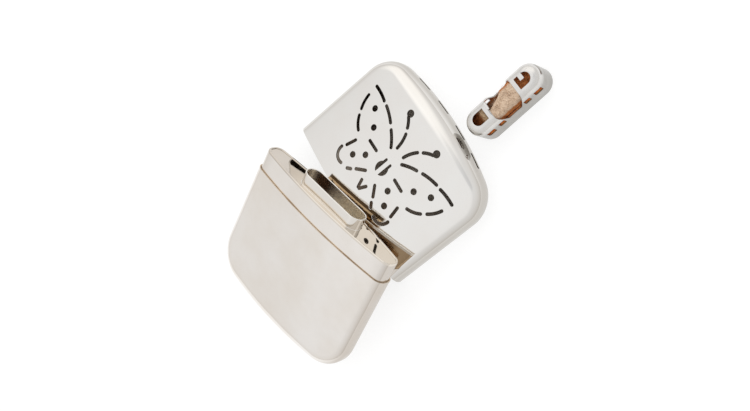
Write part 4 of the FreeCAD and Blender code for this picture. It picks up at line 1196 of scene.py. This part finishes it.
def wool_surface():
    """A lumpy wad of wool in the cap, swollen a little all round."""
    path = stadium_path(WOOL_LENGTH, WOOL_WIDTH, steps=36, along=WOOL_STEP)
    half = WOOL_WIDTH / 2
    profile = [(d, WOOL_BOTTOM, 0.0, -1.0) for d in np.linspace(half, WOOL_FOOT, 5)]
    profile += quarter_turn(WOOL_FOOT, WOOL_BOTTOM + WOOL_FOOT, WOOL_FOOT, -90, 0, 3)
    profile += [(0.0, z, 1.0, 0.0)
                for z in np.arange(WOOL_BOTTOM + WOOL_FOOT + 0.3, WOOL_TOP - WOOL_EDGE, WOOL_STEP)]
    profile += quarter_turn(WOOL_EDGE, WOOL_TOP - WOOL_EDGE, WOOL_EDGE, 0, 90, 8)
    profile += [(d, WOOL_TOP, 0.0, 1.0) for d in np.linspace(WOOL_EDGE + 0.3, half, 7)]
    skin = Skin()
    rows = sweep(skin, path, profile)
    for (indices, normals), (_, _, _, up) in zip(rows, profile):
        for index, normal in zip(indices, normals):
            point = np.array(skin.points[index])
            if up >= -0.5:
                rises = (height * lumps(point, scale, seed) for height, scale, seed in WOOL_LUMPS)
                point = point + sum(rises, start=WOOL_SWELL) * np.array(normal)
            drop = sunk(point[0]) + hollow(point[0], point[1])
            point[2] -= drop * max(point[2] - WOOL_BOTTOM, 0.0) / (WOOL_TOP - WOOL_BOTTOM)
            skin.points[index] = tuple(point)
    return skin


FIBRE_COUNT, FIBRE_SEED, FIBRE_STEPS = 900, 4, 7
FIBRE_SIDES = (0.0, 2.094, 4.189)
FIBRE_ABOVE, FIBRE_LENGTH, FIBRE_RADIUS, FIBRE_THINNING = (0.05, 0.38), (1.0, 3.2), (0.018, 0.042), 0.7
FIBRE_BEND, FIBRE_RISE, FIBRE_SAG, FIBRE_OVERHANG = 0.35, 0.12, 0.04, 0.45


def add_fibres(skin):
    """Short stray fibres that lie over the wool, each a thin bent tube."""
    random = np.random.default_rng(FIBRE_SEED)
    reach, half = (WOOL_LENGTH - WOOL_WIDTH) / 2, WOOL_WIDTH / 2
    for _ in range(FIBRE_COUNT):
        x, y = random.uniform(-reach - half, reach + half), random.uniform(-half, half)
        off = math.hypot(max(abs(x) - reach, 0.0), y)
        if off > half:
            continue
        drop = max(off - (half - WOOL_EDGE), 0.0)
        top = WOOL_TOP - WOOL_EDGE + math.sqrt(max(WOOL_EDGE ** 2 - drop ** 2, 0.0))
        point = np.array((x, y, top + random.uniform(*FIBRE_ABOVE) - sunk(x) - hollow(x, y)))
        heading = random.uniform(0, 2 * math.pi)
        bend, rise = random.normal(0, FIBRE_BEND), random.normal(0, FIBRE_RISE)
        length, radius = random.uniform(*FIBRE_LENGTH), random.uniform(*FIBRE_RADIUS)
        rings = []
        for step in range(FIBRE_STEPS + 1):
            thin = radius * (1.0 - FIBRE_THINNING * abs(2 * step / FIBRE_STEPS - 1) ** 3)
            ahead = np.array((math.cos(heading), math.sin(heading), rise))
            side = unit(np.array((-ahead[1], ahead[0], 0.0)))
            over = np.cross(unit(ahead), side)
            ring = [point + thin * (math.cos(a) * side + math.sin(a) * over) for a in FIBRE_SIDES]
            rings.append((skin.add(ring), [side, over, -side]))
            point = point + unit(ahead) * length / FIBRE_STEPS
            out = math.hypot(max(abs(point[0]) - reach, 0.0), point[1])
            if out > half + FIBRE_OVERHANG:
                break
            point[2] = min(point[2], BURNER_HEIGHT - WALL - 0.1 - 0.5 * max(out - TOP_RADIUS, 0.0))
            heading += bend * 0.6
            rise = 0.8 * rise - FIBRE_SAG
        for (ring_1, normals_1), (ring_2, normals_2) in zip(rings, rings[1:]):
            skin.strip(ring_1, ring_2, normals_1, normals_2, 0, closed=True)
        for ring, _ in (rings[0], rings[-1]):
            skin.face(ring, [(0, 0, 1)] * 3, 0)


wool_skin = wool_surface()
add_fibres(wool_skin)
wool = wool_skin.build("wool_wad", BURNER_PLACE, [WOOL], exact=False)


# ---------------- felt and cotton in the tank

FELT_TOP, FELT_THICKNESS, FELT_EDGE = NECK_BOTTOM - 0.3, 2.0, 0.5
FELT_BOTTOM = FELT_TOP - FELT_THICKNESS
PACK_CLEAR, PACK_GAP, PACK_HALF, PACK_EDGE = 1.65, 0.3, 5.05, 2.6
PACK_LOW, PACK_HIGH = PACK_CLEAR - TANK["depth"], FELT_BOTTOM - 0.3
PACK_SIDE = TANK["width"] / 2 - PACK_CLEAR
PACK_SHARE = (2 * PACK_SIDE - 2 * PACK_GAP) / 6
PACK_CORNER, PACK_CURVE = TANK["corner"] - PACK_CLEAR, 0.0026
PACK_COLUMNS, PACK_ROWS = 22, 44
FELT_SHAKE, FELT_SCALE, FELT_SEED = 0.09, 1.3, 2.0
PACK_SHAKE, PACK_SCALE, PACK_SEED = 0.05, 0.2, 5.0


def make_felt():
    """The felt under the neck, as long and wide as the neck's flange, with a soft uneven surface."""
    half = NECK_WIDTH / 2 + FLANGE_WIDTH
    profile = [(d, FELT_BOTTOM, 0, -1) for d in (half, 2.5, FELT_EDGE)]
    profile += quarter_turn(FELT_EDGE, FELT_BOTTOM + FELT_EDGE, FELT_EDGE, -90, 0, 3)[1:]
    profile += quarter_turn(FELT_EDGE, FELT_TOP - FELT_EDGE, FELT_EDGE, 0, 90, 3)
    profile += [(d, FELT_TOP, 0, 1) for d in np.linspace(FELT_EDGE, half, 11)[1:]]
    skin = Skin()
    sweep(skin, stadium_path(NECK_LENGTH + 2 * FLANGE_WIDTH, 2 * half, along=0.6), profile)
    for index, point in enumerate(skin.points):
        shift = [lumps(point, FELT_SCALE, FELT_SEED + axis) for axis in range(3)]
        skin.points[index] = tuple(np.array(point) + FELT_SHAKE * np.array(shift))
    return skin.build("felt_wick", TANK_PLACE, [FELT], exact=False)


def packing(name, left, right, rounded=0):
    """A puffy pad of cotton between two places across the tank, rounded on the side of a tank corner."""
    def eased(step, steps):
        return (1 - math.cos(math.pi * step / steps)) / 2

    def floor_at(x):
        from_end = {-1: x - left, 0: PACK_CORNER, 1: right - x}[rounded]
        inset = max(PACK_CORNER - from_end, 0.0)
        rise = PACK_CORNER - math.sqrt(max(PACK_CORNER ** 2 - inset ** 2, 0.0))
        return PACK_LOW + PACK_CURVE * x * x + rise

    def column(x, side):
        low = floor_at(x)
        points = []
        for row in range(PACK_ROWS + 1):
            z = low + (PACK_HIGH - low) * eased(row, PACK_ROWS)
            edge = min(x - left, right - x, z - low, PACK_HIGH - z)
            puff = math.sqrt(max(1 - (1 - min(edge / PACK_EDGE, 1.0)) ** 2, 0.0))
            uneven = 1 - PACK_SHAKE + PACK_SHAKE * lumps((x, side, z), PACK_SCALE, PACK_SEED)
            points.append((x, side * (PACK_HALF - PACK_CURVE * x * x) * puff * uneven, z))
        return points

    skin = Skin()
    places = [left + (right - left) * eased(step, PACK_COLUMNS) for step in range(PACK_COLUMNS + 1)]
    for side in (1, -1):
        normals = [(0, side, 0)] * (PACK_ROWS + 1)
        grid = [skin.add(column(x, side)) for x in places]
        for first, second in zip(grid, grid[1:]):
            skin.strip(first, second, normals, normals)
    return skin.build(name, TANK_PLACE, [COTTON], exact=False)


felt = make_felt()
pads = [packing("cotton_left", -PACK_SIDE, -PACK_SHARE - PACK_GAP, rounded=-1),
        packing("cotton_centre", -PACK_SHARE, PACK_SHARE),
        packing("cotton_right", PACK_SHARE + PACK_GAP, PACK_SIDE, rounded=1)]


# ---------------- what rides on what

for piece, body, node, slot in (
        (tank, "fuel_tank", "tank_shell", "nickel_sheet"),
        (collar, "fuel_tank", "collar_sleeve", "nickel_sheet"),
        (plate, "fuel_tank", "top_plate", "nickel_sheet"),
        (neck, "fuel_tank", "filler_neck", "nickel_sheet"),
        (felt, "fuel_tank", "felt_pad", "felt"),
        (pads[0], "fuel_tank", "packing_left", "cotton"),
        (pads[1], "fuel_tank", "packing_centre", "cotton"),
        (pads[2], "fuel_tank", "packing_right", "cotton"),
        (lid, "lid", "lid_shell", "nickel_sheet"),
        (cap, "burner", "burner_cap", "burner_nickel"),
        (wool, "burner", "catalyst_wool", "catalyst_wool")):
    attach(piece, body)
    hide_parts(node)


# ---------------- table, light and camera

TABLE_HALF, TABLE_GREY, TABLE_GLOW = 6.0, 0.34, 0.74
TENT_COLOURS = [(0.0, (0.82, 0.80, 0.775)), (0.3, (0.88, 0.87, 0.855)), (0.8, (0.89, 0.89, 0.89)),
                (1.0, (0.90, 0.905, 0.91))]
# Patches of the light tent: direction, the closeness where it starts and is full, strength and colour.
TENT_PATCHES = (((-0.15, -0.30, 0.94), 0.70, 1.0, 0.12, (1.0, 1.0, 1.0)),
                ((-0.66, 0.36, 0.66), 0.76, 0.97, 0.36, (1.0, 0.96, 0.89)),
                ((-0.08, 0.36, 0.93), 0.955, 0.995, -0.14, (1.0, 0.97, 0.92)))
CAMERA_LENS, CAMERA_SENSOR = 53.04, 36.0
CAMERA_FROM_LID = (136.557, 152.702, 345.615)
CAMERA_TURN = (3.845081, 29.712289, 55.911070)


def seen_share(tree):
    """1 where the camera sees a surface directly, in a mirror or through glass, and 0 elsewhere."""
    path = add_node(tree, "ShaderNodeLightPath").outputs
    total = path["Is Camera Ray"]
    for other in ("Is Glossy Ray", "Is Transmission Ray"):
        total = add_node(tree, "ShaderNodeMath", {0: total, 1: path[other]}, use_clamp=True).outputs["Value"]
    return total


def make_table():
    """The white table top, which glows a little so that it looks as white as in the photograph."""
    mesh = bpy.data.meshes.new("table_top")
    corners = ((-1, -1), (1, -1), (1, 1), (-1, 1))
    mesh.from_pydata([(x * TABLE_HALF, y * TABLE_HALF, 0.0) for x, y in corners], [], [(0, 1, 2, 3)])
    table = bpy.data.objects.new("table_top", mesh)
    bpy.context.scene.collection.objects.link(table)
    paper, tree, shader = blank("white_paper")
    tree.nodes.remove(shader)
    grey = add_node(tree, "ShaderNodeBsdfDiffuse", {"Color": (TABLE_GREY, TABLE_GREY, TABLE_GREY, 1)})
    strength = product(tree, seen_share(tree), TABLE_GLOW)
    glow = add_node(tree, "ShaderNodeEmission", {"Color": (1, 1, 1, 1), "Strength": strength})
    both = add_node(tree, "ShaderNodeAddShader", {0: grey.outputs["BSDF"], 1: glow.outputs["Emission"]})
    tree.links.new(both.outputs["Shader"], tree.nodes["Material Output"].inputs["Surface"])
    mesh.materials.append(paper)


def make_light():
    """A light tent all round, nearly white, with a few brighter or darker patches."""
    world = bpy.data.worlds.new("light_tent")
    world.use_nodes = True
    bpy.context.scene.world = world
    tree = world.node_tree
    heading = add_node(tree, "ShaderNodeTexCoord").outputs["Generated"]
    height = add_node(tree, "ShaderNodeSeparateXYZ", {"Vector": heading}).outputs["Z"]
    light = ramp_colour(tree, height, TENT_COLOURS)
    for way, start, end, strength, colour in TENT_PATCHES:
        near = add_node(tree, "ShaderNodeVectorMath", {0: heading, 1: Vector(way).normalized()},
                        operation="DOT_PRODUCT")
        share = smooth_share(tree, near.outputs["Value"], start, end, strength)
        patch = add_node(tree, "ShaderNodeVectorMath", {0: colour, "Scale": share}, operation="SCALE")
        both = add_node(tree, "ShaderNodeVectorMath", {0: light, 1: patch.outputs["Vector"]})
        light = both.outputs["Vector"]
    sky = tree.nodes["Background"]
    tree.links.new(light, sky.inputs["Color"])
    sky.inputs["Strength"].default_value = 1.0


def make_camera():
    """The photograph's camera, placed from the lid."""
    data = bpy.data.cameras.new("camera")
    data.lens, data.sensor_width = CAMERA_LENS, CAMERA_SENSOR
    data.clip_start, data.clip_end = 0.01, 50.0
    camera = bpy.data.objects.new("camera", data)
    x, y, z = CAMERA_FROM_LID
    camera.location = Vector((LID_X + x, LID_Y + y, z)) * MM
    camera.rotation_euler = tuple(math.radians(angle) for angle in CAMERA_TURN)
    bpy.context.scene.collection.objects.link(camera)
    bpy.context.scene.camera = camera


make_table()
make_light()
make_camera()
bpy.context.scene.view_settings.view_transform = "Standard"
